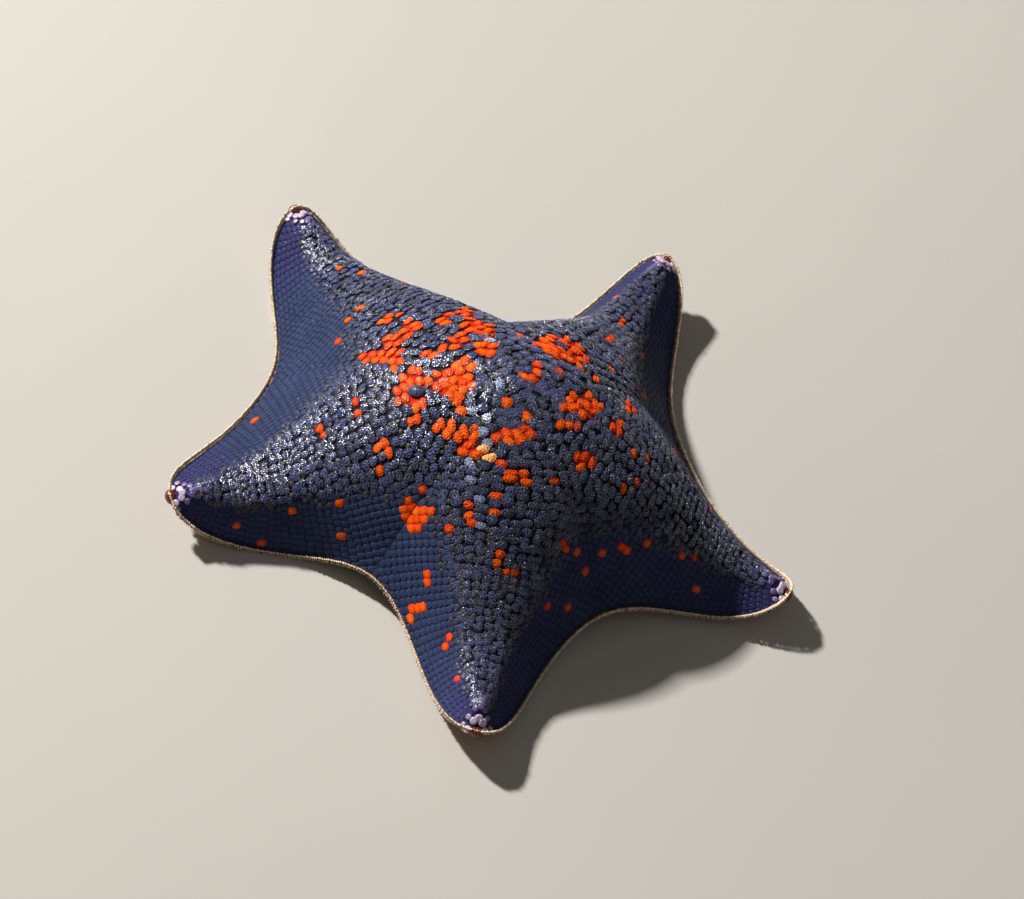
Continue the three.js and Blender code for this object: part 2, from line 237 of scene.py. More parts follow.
# Patches are ovals, arm by arm: how far out along the arm and across it, half their length and
# width, and their turn in degrees from the arm's line. A speck is one plate: how far out, and across.
ORANGE_PATCHES = (
    [(5, 2, 0.8, 0.6, 70), (5.5, 0.5, 1.8, 0.8, 90), (6, -1.5, 1.2, 0.8, 120), (7.5, -5, 1.5, 0.8, 15),
     (9.5, 0.5, 1.9, 0.6, 80), (11.5, -1, 0.7, 0.7, 0), (15.5, -4.5, 0.9, 0.5, 130),
     (15.5, -11, 1.9, 1.4, 15), (17.5, 8, 0.9, 0.6, 90), (17.5, -6.5, 1.1, 0.6, 55), (20, 0, 1.2, 1.1, 0),
     (22.5, 2, 0.9, 0.7, 110), (24, -8.5, 0.8, 0.6, 10), (28, -9.5, 1.3, 0.6, 140)],
    [(5.5, 0.5, 1.7, 0.6, 80), (6, -2.5, 0.9, 0.6, 0), (7.5, 2, 2.1, 0.9, 90), (10, -4.5, 1.4, 1, 35),
     (11.5, 2, 1.6, 0.9, 75), (13, 6.5, 1.3, 0.8, 70), (15, 0.5, 1, 0.5, 55), (21, -9.5, 1.1, 0.5, 0)],
    [(1.5, -0.5, 1.4, 1.1, 10), (7.5, -0.5, 3.4, 2.2, 125), (20.5, -2.5, 2.1, 0.5, 5),
     (34, -1.5, 1.6, 0.6, 10)],
    [(5, 3.5, 1, 0.6, 40), (5, 1, 1.4, 0.9, 45), (7.5, -2, 1.5, 1.1, 130), (7.5, 2, 1.1, 0.9, 60),
     (8, 3.5, 1.3, 0.6, 55), (8.5, -1, 2.1, 1.2, 125), (8.5, 5.5, 1.3, 0.6, 45), (11.5, 1, 1.2, 0.8, 115),
     (12, -2.5, 1.9, 0.9, 160), (13.5, 5, 1.4, 1.2, 155), (14, 7.5, 1.8, 0.9, 25), (17.5, 5.5, 1.3, 1.2, 0),
     (37.5, 1.5, 1.2, 0.7, 155)],
    [(6, -1.5, 2.6, 1.8, 115), (6, 1.5, 1, 0.5, 80), (8.5, 4, 1, 0.8, 160), (10, -2.5, 2.8, 1.8, 110),
     (11, 2, 1.1, 0.7, 115), (12, -7.5, 1.1, 0.6, 95), (13, -9.5, 3.6, 0.9, 135), (15.5, 3.5, 0.9, 0.6, 120),
     (17, -4, 1.2, 0.5, 105), (23, -3, 0.9, 0.7, 5)],
)
ORANGE_SPECKS = (
    [(3, -1), (3.5, 1.5), (8, -1.5), (10, 5.5), (13, -9.5), (14, -2.5), (14, -5), (15, -9), (34, -5),
     (35.5, -5.5)],
    [(9.5, 3.5), (16.5, -4.5), (23.5, -7), (30.5, -5.5), (32.5, -4.5)],
    [(8, -5.5)],
    [(22, 11.5), (23.5, 8.5), (24, 6), (33.5, 0.5)],
    [(6, 4), (17, 6), (24, 6.5), (32, 5), (32.5, -12)],
)
DIM_SPECKS = (
    [(17.5, 11), (19, 12.5), (24.5, 11.5), (25, 8.5), (42, -3.5)],
    [(7, -2), (17, 1.5), (17.5, -3), (19, -11.5), (22.5, 9.5), (27, 11), (31, 4.5), (36, -6.5)],
    [(4.5, -3), (7, 4), (13, -5.5), (14.5, 7.5), (18, -5), (19, -10.5), (21.5, 9), (29, 6), (31, -6.5),
     (41, 2.5)],
    [(15.5, -9.5), (22, -8), (26, -2), (30.5, -6)],
    [(12, -1), (25.5, 10), (36.5, 7), (41, 4.5)],
)
PALE_PATCHES = (
    [(6.5, -3.5, 0.8, 0.6, 140), (9, -4.5, 0.5, 0.4, 120), (10.5, -5, 0.4, 0.3, 125),
     (12.5, -3.5, 0.5, 0.4, 140), (16, -3.5, 0.5, 0.4, 0)],
    [],
    [],
    [(5.5, -1, 0.7, 0.4, 115)],
    [(2, 0.5, 0.5, 0.3, 45), (4.5, 3.5, 0.6, 0.4, 15), (5.5, 2.5, 0.4, 0.4, 15)],
)
PEACH_PATCH = (0, 8, -3.5, 0.8, 0.6, 130)
BLUE_HOLES = (
    [],
    [],
    [(1.5, 0, 0.4, 0.4, 0), (7.5, 0, 1.2, 0.7, 125)],
    [(6.5, 0.5, 0.7, 0.3, 75)],
    [(9.5, -2, 1, 0.5, 120)],
)
SPECK_HALF = 0.3
PATCH_AREA = 0.45
LARGE_AREA = 0.9
LARGE_REACH = 16


def on_arms(patches, specks=()):
    """Marks as rows: which arm, how far along and across it, half length, half width and turn."""
    rows = [(arm, *patch) for arm, mine in enumerate(patches) for patch in mine]
    places = [(arm, *speck) for arm, mine in enumerate(specks) for speck in mine]
    return rows + [(*place, SPECK_HALF, SPECK_HALF, 0) for place in places]


ORANGE_MARKS = on_arms(ORANGE_PATCHES, ORANGE_SPECKS)
DIM_MARKS = on_arms((), DIM_SPECKS)
PALE_MARKS = [PEACH_PATCH] + on_arms(PALE_PATCHES)
BLUE_MARKS = on_arms(BLUE_HOLES)
LARGE_MARKS = [mark for mark in ORANGE_MARKS if mark[3] * mark[4] > LARGE_AREA and mark[1] < LARGE_REACH]


def mark_distances(marks, places, grow):
    """How far each place is from each mark, where 1 is the mark's own rim."""
    arm, s, across, long, wide, turn = np.array(marks).T
    away = places[:, None] - laid_flat(arm, s, across)
    forward, aside = turned_plan(away[..., 0], away[..., 1], -np.radians(turn) - arm * SECTOR)
    return np.hypot(forward / (long + grow), aside / (wide + grow))


def ridge_share(along, out):
    """1 on the rough ridge and disc, 0 on the smooth flanks."""
    border = RIDGE_BORDER + RIDGE_BORDER_AT_NOTCH * (1 - along) ** 2
    return 1 - smooth(out, border - RIDGE_BLUR, border + RIDGE_BLUR)


def tip_share(arm, s):
    return smooth(s / ARM_LENGTH[arm], TIP_START, 1)


def new_mesh(name, points, corner_lists, attributes=(), uv=None):
    """Makes an object of a mesh in millimetres, none of it below the floor.

    Attributes are (name, type, values) at its points.
    """
    mesh = bpy.data.meshes.new(name)
    mesh.vertices.add(len(points))
    points = np.maximum(points, [-np.inf, -np.inf, FLOOR_CLEARANCE])
    mesh.vertices.foreach_set("co", (points * MM).ravel())
    corners = np.concatenate([faces.ravel() for faces in corner_lists])
    sizes = np.concatenate([np.full(len(faces), faces.shape[1]) for faces in corner_lists])
    mesh.loops.add(len(corners))
    mesh.loops.foreach_set("vertex_index", corners.astype(np.int32))
    mesh.polygons.add(len(sizes))
    mesh.polygons.foreach_set("loop_start", (np.cumsum(sizes) - sizes).astype(np.int32))
    mesh.polygons.foreach_set("use_smooth", np.ones(len(sizes), bool))
    for title, kind, values in attributes:
        layer = mesh.attributes.new(title, kind, "POINT")
        field = "color" if kind == "FLOAT_COLOR" else "value"
        layer.data.foreach_set(field, np.asarray(values, np.float32).ravel())
    if uv is not None:
        layer = mesh.uv_layers.new(name="OFBake")
        layer.uv.foreach_set("vector", uv[corners].astype(np.float32).ravel())
    mesh.update(calc_edges=True)
    piece = bpy.data.objects.new(name, mesh)
    bpy.context.scene.collection.objects.link(piece)
    return piece


def only(piece):
    bpy.ops.object.select_all(action="DESELECT")
    piece.select_set(True)
    bpy.context.view_layer.objects.active = piece


skin_points, skin_quads, skin_uv, skin_marks = [], [], [], []
skin_count = 0
for arm, side in HALF_ARMS:
    along = np.linspace(0, 1, SKIN_ROWS + 1)
    half_width = outline(arm, side, along)[1]
    groove_share = np.minimum(GROOVE_HALF_WIDTH / np.maximum(half_width, 1e-6), 0.5)[:, None]
    groove_out = groove_share * np.linspace(0, 1, GROOVE_COLUMNS + 1)
    sole_out = groove_share + (1 - groove_share) * np.linspace(0, 1, SOLE_COLUMNS + 1)[1:]
    top_out = np.broadcast_to(np.linspace(0, 1, TOP_COLUMNS + 1), (SKIN_ROWS + 1, TOP_COLUMNS + 1))
    for sheet, out, centre, underneath in (
        (top_point, top_out, TOP_UV_CENTRE, 0),
        (underside_point, np.hstack([groove_out, sole_out]), UNDERSIDE_UV_CENTRE, 1),
    ):
        down = np.broadcast_to(along[:, None], out.shape)
        index = skin_count + np.arange(out.size).reshape(out.shape)
        quads = np.stack([index[:-1, :-1], index[1:, :-1], index[1:, 1:], index[:-1, 1:]], -1).reshape(-1, 4)
        if (side < 0) != (underneath > 0):
            quads = quads[:, ::-1]
        _, s, across = sheet_place(arm, side, down, out)
        places = laid_flat(arm, s, across).reshape(-1, 2)
        orange = SKIN_ORANGE * (1 - smooth(mark_distances(LARGE_MARKS, places, 0.0).min(1), 0.8, 1.05))
        orange *= smooth(mark_distances(BLUE_MARKS, places, 0.1).min(1), 0.8, 1.1)
        ridge, tip = ridge_share(down, out).ravel(), tip_share(arm, s).ravel()
        skin_points.append(sheet(arm, side, down, out).reshape(-1, 3))
        skin_quads.append(quads)
        skin_uv.append(star_uv(centre, arm, s, across).reshape(-1, 2))
        skin_marks.append(np.stack([orange, 0 * orange, ridge, tip, 0 * orange + underneath], -1))
        skin_count += out.size
skin_marks = np.concatenate(skin_marks)
skin = new_mesh(
    "skin",
    np.concatenate(skin_points),
    [np.concatenate(skin_quads)],
    [("marks", "FLOAT_COLOR", skin_marks[:, :4]), ("underneath", "FLOAT", skin_marks[:, 4])],
    np.concatenate(skin_uv),
)
only(skin)
bpy.ops.object.mode_set(mode="EDIT")
bpy.ops.mesh.select_all(action="SELECT")
bpy.ops.mesh.remove_doubles(threshold=1e-6)
bpy.ops.mesh.normals_make_consistent(inside=False)
bpy.ops.object.mode_set(mode="OBJECT")
skin_co, skin_normal = np.empty((2, len(skin.data.vertices) * 3))
skin.data.vertices.foreach_get("co", skin_co)
skin.data.vertices.foreach_get("normal", skin_normal)
skin.data.vertices.foreach_set("co", skin_co - skin_normal * SKIN_DEPTH * MM)
skin.data.update()


def linear(colour):
    """A colour as the eye sees it on a screen, 0 to 255, made linear for a shader."""
    shares = [value / 255 for value in colour]
    return [v / 12.92 if v <= 0.04045 else ((v + 0.055) / 1.055) ** 2.4 for v in shares] + [1]


def add_node(tree, kind, inputs=None, **settings):
    node = tree.nodes.new(kind)
    for name, value in settings.items():
        setattr(node, name, value)
    for key, value in (inputs or {}).items():
        if isinstance(value, bpy.types.NodeSocket):
            tree.links.new(value, node.inputs[key])
        else:
            node.inputs[key].default_value = value
    return node


def mixed(tree, share, first, second, blend="MIX"):
    """A colour mixed from two, each a socket or a colour as the eye sees it on a screen."""
    first, second = (linear(colour) if isinstance(colour, tuple) else colour for colour in (first, second))
    inputs = {0: share, 6: first, 7: second}
    return add_node(tree, "ShaderNodeMix", inputs, data_type="RGBA", blend_type=blend).outputs[2]


def worked(tree, operation, *values, clamp=False):
    """The result of a sum on some values, each of them a socket or a number."""
    inputs = dict(enumerate(values))
    return add_node(tree, "ShaderNodeMath", inputs, operation=operation, use_clamp=clamp).outputs[0]


def noise(tree, place, scale, detail, roughness=0.5):
    inputs = {"Vector": place, "Scale": scale, "Detail": detail, "Roughness": roughness}
    return add_node(tree, "ShaderNodeTexNoise", inputs).outputs[0]


def ranged(tree, value, start=0.0, end=1.0, first=0.0, last=1.0):
    """A value that runs from start to end, brought to run from first to last and held there."""
    inputs = {0: value, 1: start, 2: end, 3: first, 4: last}
    return add_node(tree, "ShaderNodeMapRange", inputs).outputs[0]


def attribute(tree, name):
    return add_node(tree, "ShaderNodeAttribute", attribute_name=name).outputs["Fac"]


def group(name, inputs, outputs):
    """A new shader node group, with the sockets that go into it and come out of it."""
    tree = bpy.data.node_groups.new(name, "ShaderNodeTree")
    for titles, way in ((inputs, "INPUT"), (outputs, "OUTPUT")):
        for title, kind in titles.items():
            tree.interface.new_socket(title, in_out=way, socket_type="NodeSocket" + kind)
    return tree, tree.nodes.new("NodeGroupInput").outputs, tree.nodes.new("NodeGroupOutput").inputs


# Star colour: deep blue, violet at the tips, orange marks. Painted shade darkens what lies deeper on
# the ridges nearly to black, and plate tops and middle granules carry a painted highlight.
star_colour, given, result = group(
    "star_colour",
    {"Vector": "Vector", "Marks": "Color", "Tip": "Float", "Shade": "Float", "Depth": "Float"},
    {"Color": "Color", "Film": "Float"},
)
orange_share, pale_share, ridge, *_ = add_node(
    star_colour, "ShaderNodeSeparateColor", {0: given["Marks"]}).outputs
cloud = noise(star_colour, given["Vector"], 160, 4, 0.6)
fleck = noise(star_colour, given["Vector"], 1400, 3, 0.6)
flank_blue = mixed(star_colour, cloud, (27, 34, 62), (50, 63, 98))
ridge_blue = mixed(star_colour, cloud, (38, 45, 80), (79, 89, 142))
# Low shade turns the ridge blue olive-brown on plate sides, rim granules and skin: partly the olive skin of
# the papular areas, partly painted shade round each plate.
sunk = ranged(star_colour, given["Shade"], 0.62, 0.15, 0, 0.65)
ridge_blue = mixed(star_colour, sunk, ridge_blue, (46, 45, 42))
blue = mixed(star_colour, ridge, flank_blue, ridge_blue)
violet_share = worked(star_colour, "MULTIPLY", given["Tip"], 0.55)
blue = mixed(star_colour, violet_share, blue, (48, 41, 98))
# The ends of the ridges at the tips turn pale lilac: partly their own pale colour, partly a painted highlight
# of wet granules.
tip_pale_and_highlight = worked(star_colour, "MULTIPLY", ranged(star_colour, given["Tip"], 0.88, 1, 0, 0.55), ridge)
blue = mixed(star_colour, tip_pale_and_highlight, blue, (150, 142, 196))
# Shade runs from 0 on plate sides, rim granules and skin to 1 on plate tops and middle granules, over each
# plate's random tone: pale and orange plates get a painted highlight on top and painted shade at their sides.
pale = mixed(star_colour, given["Shade"], (112, 126, 164), (166, 178, 208))
blue = mixed(star_colour, pale_share, blue, pale)
orange = mixed(star_colour, given["Shade"], (206, 42, 0), (244, 108, 0))
orange = mixed(star_colour, pale_share, orange, (252, 186, 112))
whole = mixed(star_colour, orange_share, blue, orange)
# Painted shade: on the ridges the colour is darkened to the Depth share, 0.3 for skin and 0.7 for plates,
# where they lie deeper than the granules; orange marks keep 0.8.
depth_shade = ranged(star_colour, ridge, first=1, last=given["Depth"])
marked = worked(star_colour, "MULTIPLY", orange_share, 0.8)
light = worked(star_colour, "MULTIPLY_ADD", fleck, 0.5, 0.72)
light = worked(star_colour, "MULTIPLY", light, worked(star_colour, "MAXIMUM", depth_shade, marked))
star_colour.links.new(mixed(star_colour, 1.0, whole, light, "MULTIPLY"), result["Color"])
unmarked = worked(star_colour, "SUBTRACT", 1.0, worked(star_colour, "MULTIPLY", orange_share, 0.88))
film = worked(star_colour, "MULTIPLY", ranged(star_colour, ridge, first=0.1), unmarked)
star_colour.links.new(film, result["Film"])

# Wet film: sea water stands on the skin in patches, so gloss comes and goes.
wet_film, given, result = group(
    "wet_film",
    {"Vector": "Vector", "Dry": "Float", "Wet": "Float", "Share": "Float"},
    {"Roughness": "Float", "Coat": "Float", "Height": "Float"},
)
pools = ranged(wet_film, noise(wet_film, given["Vector"], 420, 3, 0.55), 0.32, 0.5)
pools = worked(wet_film, "MULTIPLY", pools, given["Share"])
rough = ranged(wet_film, pools, first=given["Dry"], last=given["Wet"])
wet_film.links.new(rough, result["Roughness"])
wet_film.links.new(pools, result["Coat"])
wet_film.links.new(noise(wet_film, given["Vector"], 5200, 2), result["Height"])


def new_material(name, specular=0.5):
    """A material with its tree, its shader's sockets and the place that its patterns read."""
    material = bpy.data.materials.new(name)
    material.use_nodes = True
    tree = material.node_tree
    shader = tree.nodes["Principled BSDF"].inputs
    shader["Specular IOR Level"].default_value = specular
    shader["Coat Roughness"].default_value = COAT_ROUGHNESS
    return material, tree, shader, tree.nodes.new("ShaderNodeTexCoord").outputs["Object"]


def wet_surface(tree, shader, place, dry, wet, coat, bump, share=1.0, distance=0.03):
    """Gives a shader the film's gloss and its fine bump. The film is thick by the given share."""
    inputs = {"Vector": place, "Dry": dry, "Wet": wet, "Share": share}
    film = add_node(tree, "ShaderNodeGroup", inputs, node_tree=wet_film).outputs
    tree.links.new(film["Roughness"], shader["Roughness"])
    tree.links.new(worked(tree, "MULTIPLY", film["Coat"], coat), shader["Coat Weight"])
    inputs = {"Strength": bump, "Distance": distance * MM, "Height": film["Height"]}
    tree.links.new(add_node(tree, "ShaderNodeBump", inputs).outputs[0], shader["Normal"])


def let_light_in(shader, weight, depth):
    shader["Subsurface Weight"].default_value = weight
    shader["Subsurface Scale"].default_value = depth * MM


def star_surface(name, depth, dry, wet, coat, bump, specular):
    """The blue finish that skin, plates and granules share, with painted shade: darker where it lies deeper.
    """
    material, tree, shader, place = new_material(name, specular)
    marks = add_node(tree, "ShaderNodeAttribute", attribute_name="marks").outputs
    inputs = {"Vector": place, "Marks": marks["Color"], "Tip": marks["Alpha"],
              "Shade": attribute(tree, "shade"), "Depth": depth}
    colours = add_node(tree, "ShaderNodeGroup", inputs, node_tree=star_colour).outputs
    tree.links.new(colours["Color"], shader["Base Color"])
    wet_surface(tree, shader, place, dry, wet, coat, bump, colours["Film"])
    return material, tree, shader, place, colours["Color"]


# The skin is painted at 0.3 of its colour on the ridges: painted shade between the plates.
skin_finish, tree, shader, place, star = star_surface("skin_finish", 0.3, 0.75, 0.7, 0.0, 0.5, 0.05)
ochre = mixed(tree, noise(tree, place, 700, 4), (150, 96, 42), (214, 160, 92))
tree.links.new(mixed(tree, attribute(tree, "underneath"), star, ochre), shader["Base Color"])
skin.data.materials.append(skin_finish)
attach(skin, "root")
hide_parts("disc", *["arm_" + name for name in ARM_NAMES])

# ---- Plates -----------------------------------------------------------------------------------
# The skeleton's small limy plates push up the skin in rows: crescents that overlap like roof tiles
# on the disc and along each ridge, and flat-topped squares set like paving on the flanks. They are
# chalky bone under a thin skin that carries the colour, so an orange mark is made of whole plates.

CENTRE_RADIUS = 7.2
CENTRE_MARGIN = 0.3
CENTRE_SPREAD = 0.57
CENTRE_START = 0.4
CENTRE_WIDTH = 1.8135
CENTRE_STEP = 1.0
FIRST_ROW = 2.2
TIP_CLEARANCE = 1.0
TIP_HOLE = (0.2, 0.85)
RIDGE_LINE = 0.15
FLANK_LINE = 0.7
DISC_PITCH = 1.95
DISC_REACH = (9, 24)
RIDGE_PITCH = 1.4
FLANK_PITCH = 1.08
ROW_PITCH = 1.24
TIP_PITCH_LOSS = 0.3
FILL_SPREAD = 0.22
FILL_TRIALS = 6000
FILL_REACH = 25
FILL_DISTANCE = 1.15
FILL_EDGE = 0.9
SIEVE_ARM, SIEVE_SIDE, SIEVE_ALONG, SIEVE_OUT = 4, -1, 0.1, 0.123
SIEVE_NUDGE = 0.05
SIEVE_CLEARANCE = 1.3
SIEVE_LENGTHENING = 0.4
RIDGE_RISE = 0.26
FLANK_RISE = 0.1
DEPTH_PROBE = 0.3
TILE_TILT = 0.16
FLANK_SHIFT, RIDGE_SHIFT_GAIN = 0.02, 0.13
FLANK_SPIN, RIDGE_SPIN_GAIN = 0.04, 0.26
CENTRE_SPIN, CENTRE_SPIN_REACH = 0.5, (6, 13)
RIDGE_WIDTH_SPREAD, RIDGE_DEPTH_SPREAD = 0.09, 0.08
FLANK_SQUARE, RIDGE_SQUARE = 4.2, 2.1
TILE_BEND, BEND_MIDDLE = 0.26, 0.3
EDGE_WANDER = 0.07
MARKED_GROWTH = 0.25
DIM_ORANGE = 0.75
GOLDEN_TURN = 2.39996
PLATE_SIDES = 10
SECTOR_UV_START = np.array([0.02, 0.5])
SECTOR_UV_SCALE = 0.0175
PLATE_UV_SHARE = 0.8

draw = np.random.default_rng(11)


def top_place(arm, side, s, across):
    """The place from notch to tip, and from crest to edge, of a place on the arm laid flat."""
    low, high = np.zeros(len(s)), np.ones(len(s))
    for _ in range(40):
        middle = (low + high) / 2
        edge_x, edge_y = outline(arm, side, middle)
        station = crest_station(arm, middle)
        beyond = (s - station) * edge_y > abs(across) * (edge_x - station)
        low, high = np.where(beyond, middle, low), np.where(beyond, high, middle)
    edge_x, _ = outline(arm, side, low)
    station = crest_station(arm, low)
    return low, np.clip((s - station) / (edge_x - station), 0, 1)


def surface_frame(sheet, arm, side, along, out):
    """Points of the body, with the directions across the arm, along it, and straight out of it."""
    reach = 0.004
    low, high = np.maximum(along - reach, 0), np.minimum(along + reach, 1)
    inner, outer = np.maximum(out - reach, 0), np.minimum(out + reach, 1)
    by_along = sheet(arm, side, high, out) - sheet(arm, side, low, out)
    by_out = sheet(arm, side, along, outer) - sheet(arm, side, along, inner)
    facing = -1 if sheet is underside_point else 1
    normal = unit(np.cross(by_along, by_out)) * facing * np.asarray(side)[..., None]
    bearing = ARM_BEARING[arm]
    axis = np.stack([np.cos(bearing), np.sin(bearing), 0 * bearing], -1)
    across = unit(np.cross(normal, axis)) * facing
    return sheet(arm, side, along, out), across, np.cross(normal, across), normal


def spiral(count, spread, start):
    """Places in a sunflower's spiral round the centre, as the half arms that they lie on have it."""
    radius, angle = spread * np.sqrt(np.arange(count) + start), np.arange(count) * GOLDEN_TURN
    nearest = np.round(angle / SECTOR)
    s, across = radius * np.cos(angle - nearest * SECTOR), radius * np.sin(angle - nearest * SECTOR)
    arm, side = (nearest % 5).astype(int), np.where(across < 0, -1, 1)
    return arm, side, *top_place(arm, side, s, across), s, across


row_parts = []
for (arm, side), on_ridge in [(half, zone) for half in HALF_ARMS for zone in (True, False)]:
    dense = np.linspace(0, 1, 401)
    dense_edge, dense_crest = outline(arm, side, dense)[0], crest_station(arm, dense)
    line = RIDGE_LINE if on_ridge else FLANK_LINE
    station = sheet_place(arm, side, dense, line)[1]
    moves = np.diff(top_point(arm, side, dense, line + 0 * dense), axis=0)
    forward = moves @ np.array([math.cos(ARM_BEARING[arm]), math.sin(ARM_BEARING[arm]), 0])
    stretches = np.hypot(forward, moves[:, 2]) / np.diff(station)
    s = FIRST_ROW
    while s < ARM_LENGTH[arm] - TIP_CLEARANCE:
        span = np.linspace(np.interp(s, dense_crest, dense), np.interp(s, dense_edge, dense), 121)
        station_of = crest_station(arm, span)
        out = np.clip((s - station_of) / (outline(arm, side, span)[0] - station_of), 0, 1)
        steps = np.linalg.norm(np.diff(top_point(arm, side, span, out), axis=0), axis=1)
        shrink = 1 - TIP_PITCH_LOSS * (s / ARM_LENGTH[arm]) ** 2
        ridge_pitch = DISC_PITCH + (RIDGE_PITCH - DISC_PITCH) * smooth(s, *DISC_REACH)
        pitch = (FLANK_PITCH + (ridge_pitch - FLANK_PITCH) * ridge_share(span, out)) * shrink
        places = np.concatenate([[0], np.cumsum(steps * 2 / (pitch[1:] + pitch[:-1]))])
        count = int(round(places[-1] - 0.5))
        wanted = np.arange(count + 1) * (places[-1] - 0.5) / max(count, 1)
        wanted = wanted[0 if side > 0 else 1:]
        v, u = np.interp(wanted, places, span), np.interp(wanted, places, out)
        across = side * u * outline(arm, side, v)[1]
        keep = np.hypot(s, across) > CENTRE_RADIUS + CENTRE_MARGIN
        keep &= (ridge_share(v, u) > 0.5) == on_ridge
        wide = np.interp(wanted, places, pitch)
        step = (ROW_PITCH if on_ridge else FLANK_PITCH) * shrink / np.interp(s, station[1:], stretches)
        same = np.ones(len(v))
        row = [same * arm, same * side, v, u, same * s, across, wide, same * step]
        row_parts.append(np.stack(row, -1)[keep])
        s += step
centre = spiral(int((CENTRE_RADIUS / CENTRE_SPREAD) ** 2), CENTRE_SPREAD, CENTRE_START)
same = np.ones(len(centre[0]))
row_parts.append(np.stack([*centre, same * CENTRE_WIDTH, same * CENTRE_STEP], -1))
plates = np.concatenate(row_parts)


def point_of(rows):
    """Points of the body, for rows that start with arm, side, place along and place out."""
    return top_point(rows[:, 0].astype(int), rows[:, 1].astype(int), rows[:, 2], rows[:, 3])


sieve_place, sieve_edge = top_point(
    SIEVE_ARM, SIEVE_SIDE, np.full(2, SIEVE_ALONG), SIEVE_OUT + np.array([0, SIEVE_NUDGE]))
sieve_outward = unit(sieve_edge - sieve_place)


def off_sieve(points):
    """Whether points lie clear of the sieve plate's oval."""
    away = points - sieve_place
    beyond = away @ sieve_outward
    aside = np.linalg.norm(away - beyond[:, None] * sieve_outward, axis=1)
    return np.hypot(beyond / (SIEVE_CLEARANCE + SIEVE_LENGTHENING), aside / SIEVE_CLEARANCE) > 1


to_tip = plates[:, 4] - ARM_LENGTH[plates[:, 0].astype(int)] + TIP_HOLE[0]
plates = plates[(np.hypot(to_tip, plates[:, 5]) > TIP_HOLE[1]) & off_sieve(point_of(plates))]

# Gaps left where the rows of neighbouring arms meet are filled with single plates.
spare_rows = np.stack(spiral(FILL_TRIALS, FILL_SPREAD, 0), -1)
spare = point_of(spare_rows)
planted = point_of(plates)
planted = planted[np.linalg.norm(planted[:, :2] - DISC_CENTRE, axis=1) < FILL_REACH]
free = np.array([np.linalg.norm(planted - point, axis=1).min() for point in spare]) * off_sieve(spare)
limit = FILL_DISTANCE * (0.75 + 0.25 * ridge_share(spare_rows[:, 2], spare_rows[:, 3]))
added = []
for index in np.argsort(-free):
    room = min([free[index]] + [np.linalg.norm(spare[index] - spare[other]) for other in added])
    if spare_rows[index, 3] < FILL_EDGE and room > limit[index]:
        added.append(index)
sizes = np.broadcast_to([FILL_DISTANCE * 1.2, CENTRE_STEP], (len(added), 2))
plates = np.concatenate([plates, np.hstack([spare_rows[added], sizes])])
plate_arm, plate_side = plates[:, 0].astype(int), plates[:, 1].astype(int)
plate_along, plate_out, plate_s, plate_across, plate_wide, plate_step = plates[:, 2:].T
outer_place = top_place(plate_arm, plate_side, plate_s + DEPTH_PROBE, plate_across)
apart = np.linalg.norm(top_point(plate_arm, plate_side, *outer_place) - point_of(plates), axis=1)
plate_deep = np.clip(plate_step * apart / DEPTH_PROBE, 0.75, 1.7)
plate_ridge = ridge_share(plate_along, plate_out)
plate_flat = laid_flat(plate_arm, plate_s, plate_across)
plate_point, plate_x, plate_y, plate_z = surface_frame(
    top_point, plate_arm, plate_side, plate_along, plate_out)

plate_count = len(plates)
shift_spread = FLANK_SHIFT + RIDGE_SHIFT_GAIN * plate_ridge
shift = draw.normal(0, 1, (plate_count, 2)).clip(-2, 2) * shift_spread[:, None]
plate_point = plate_point + plate_x * shift[:, :1] + plate_y * shift[:, 1:]
spin = draw.normal(0, 1, plate_count) * (FLANK_SPIN + RIDGE_SPIN_GAIN * plate_ridge)
near_centre = 1 - smooth(np.hypot(plate_s, plate_across), *CENTRE_SPIN_REACH)
spin += near_centre * draw.normal(0, CENTRE_SPIN, plate_count)
plate_x, plate_y = turned(plate_x, plate_y, spin)
plate_y = unit(turned(plate_y, plate_z, TILE_TILT * plate_ridge)[0])
plate_z = unit(np.cross(plate_x, plate_y))
plate_half_x = plate_wide * (0.5 - 0.02 * plate_ridge)
plate_half_x *= 1 + draw.normal(0, RIDGE_WIDTH_SPREAD, plate_count) * plate_ridge
plate_half_y = plate_deep * (0.5 + 0.005 * plate_ridge)
plate_half_y *= 1 + draw.normal(0, RIDGE_DEPTH_SPREAD, plate_count) * plate_ridge
plate_rise = FLANK_RISE + (RIDGE_RISE - FLANK_RISE) * plate_ridge
plate_square = FLANK_SQUARE + (RIDGE_SQUARE - FLANK_SQUARE) * plate_ridge
plate_bend = TILE_BEND * plate_ridge * draw.uniform(0.4, 1.3, plate_count)
plate_shade = draw.uniform(0, 1, plate_count)


def marked_plates(marks, grow):
    """The plates that a mark covers, and the plate at its middle."""
    arm, s, across, long, wide, _ = np.array(marks).T
    distances = mark_distances(marks, plate_flat, grow)
    distances[:, long * wide < PATCH_AREA] = 2
    away = np.linalg.norm(plate_flat[:, None] - laid_flat(arm, s, across), axis=-1)
    chosen = distances.min(1) < 1
    chosen[away.argmin(0)] = True
    return chosen


plate_orange = marked_plates(ORANGE_MARKS, 0.12) * 1.0
plate_orange[marked_plates(DIM_MARKS, 0) & (plate_orange == 0)] = DIM_ORANGE
plate_orange[marked_plates(BLUE_MARKS, 0)] = 0
plate_pale = marked_plates(PALE_MARKS, 0.1) * 1.0
plate_orange[plate_pale > 0] = 0
plate_orange[marked_plates([PEACH_PATCH], 0.1)] = 1
spotted = 1 + MARKED_GROWTH * (plate_orange > 0) * (1 - plate_ridge)
plate_half_x, plate_half_y = plate_half_x * spotted, plate_half_y * spotted
plate_rise = plate_rise * spotted**2
plate_marks = np.stack([plate_orange, plate_pale, plate_ridge, tip_share(plate_arm, plate_s)], -1)


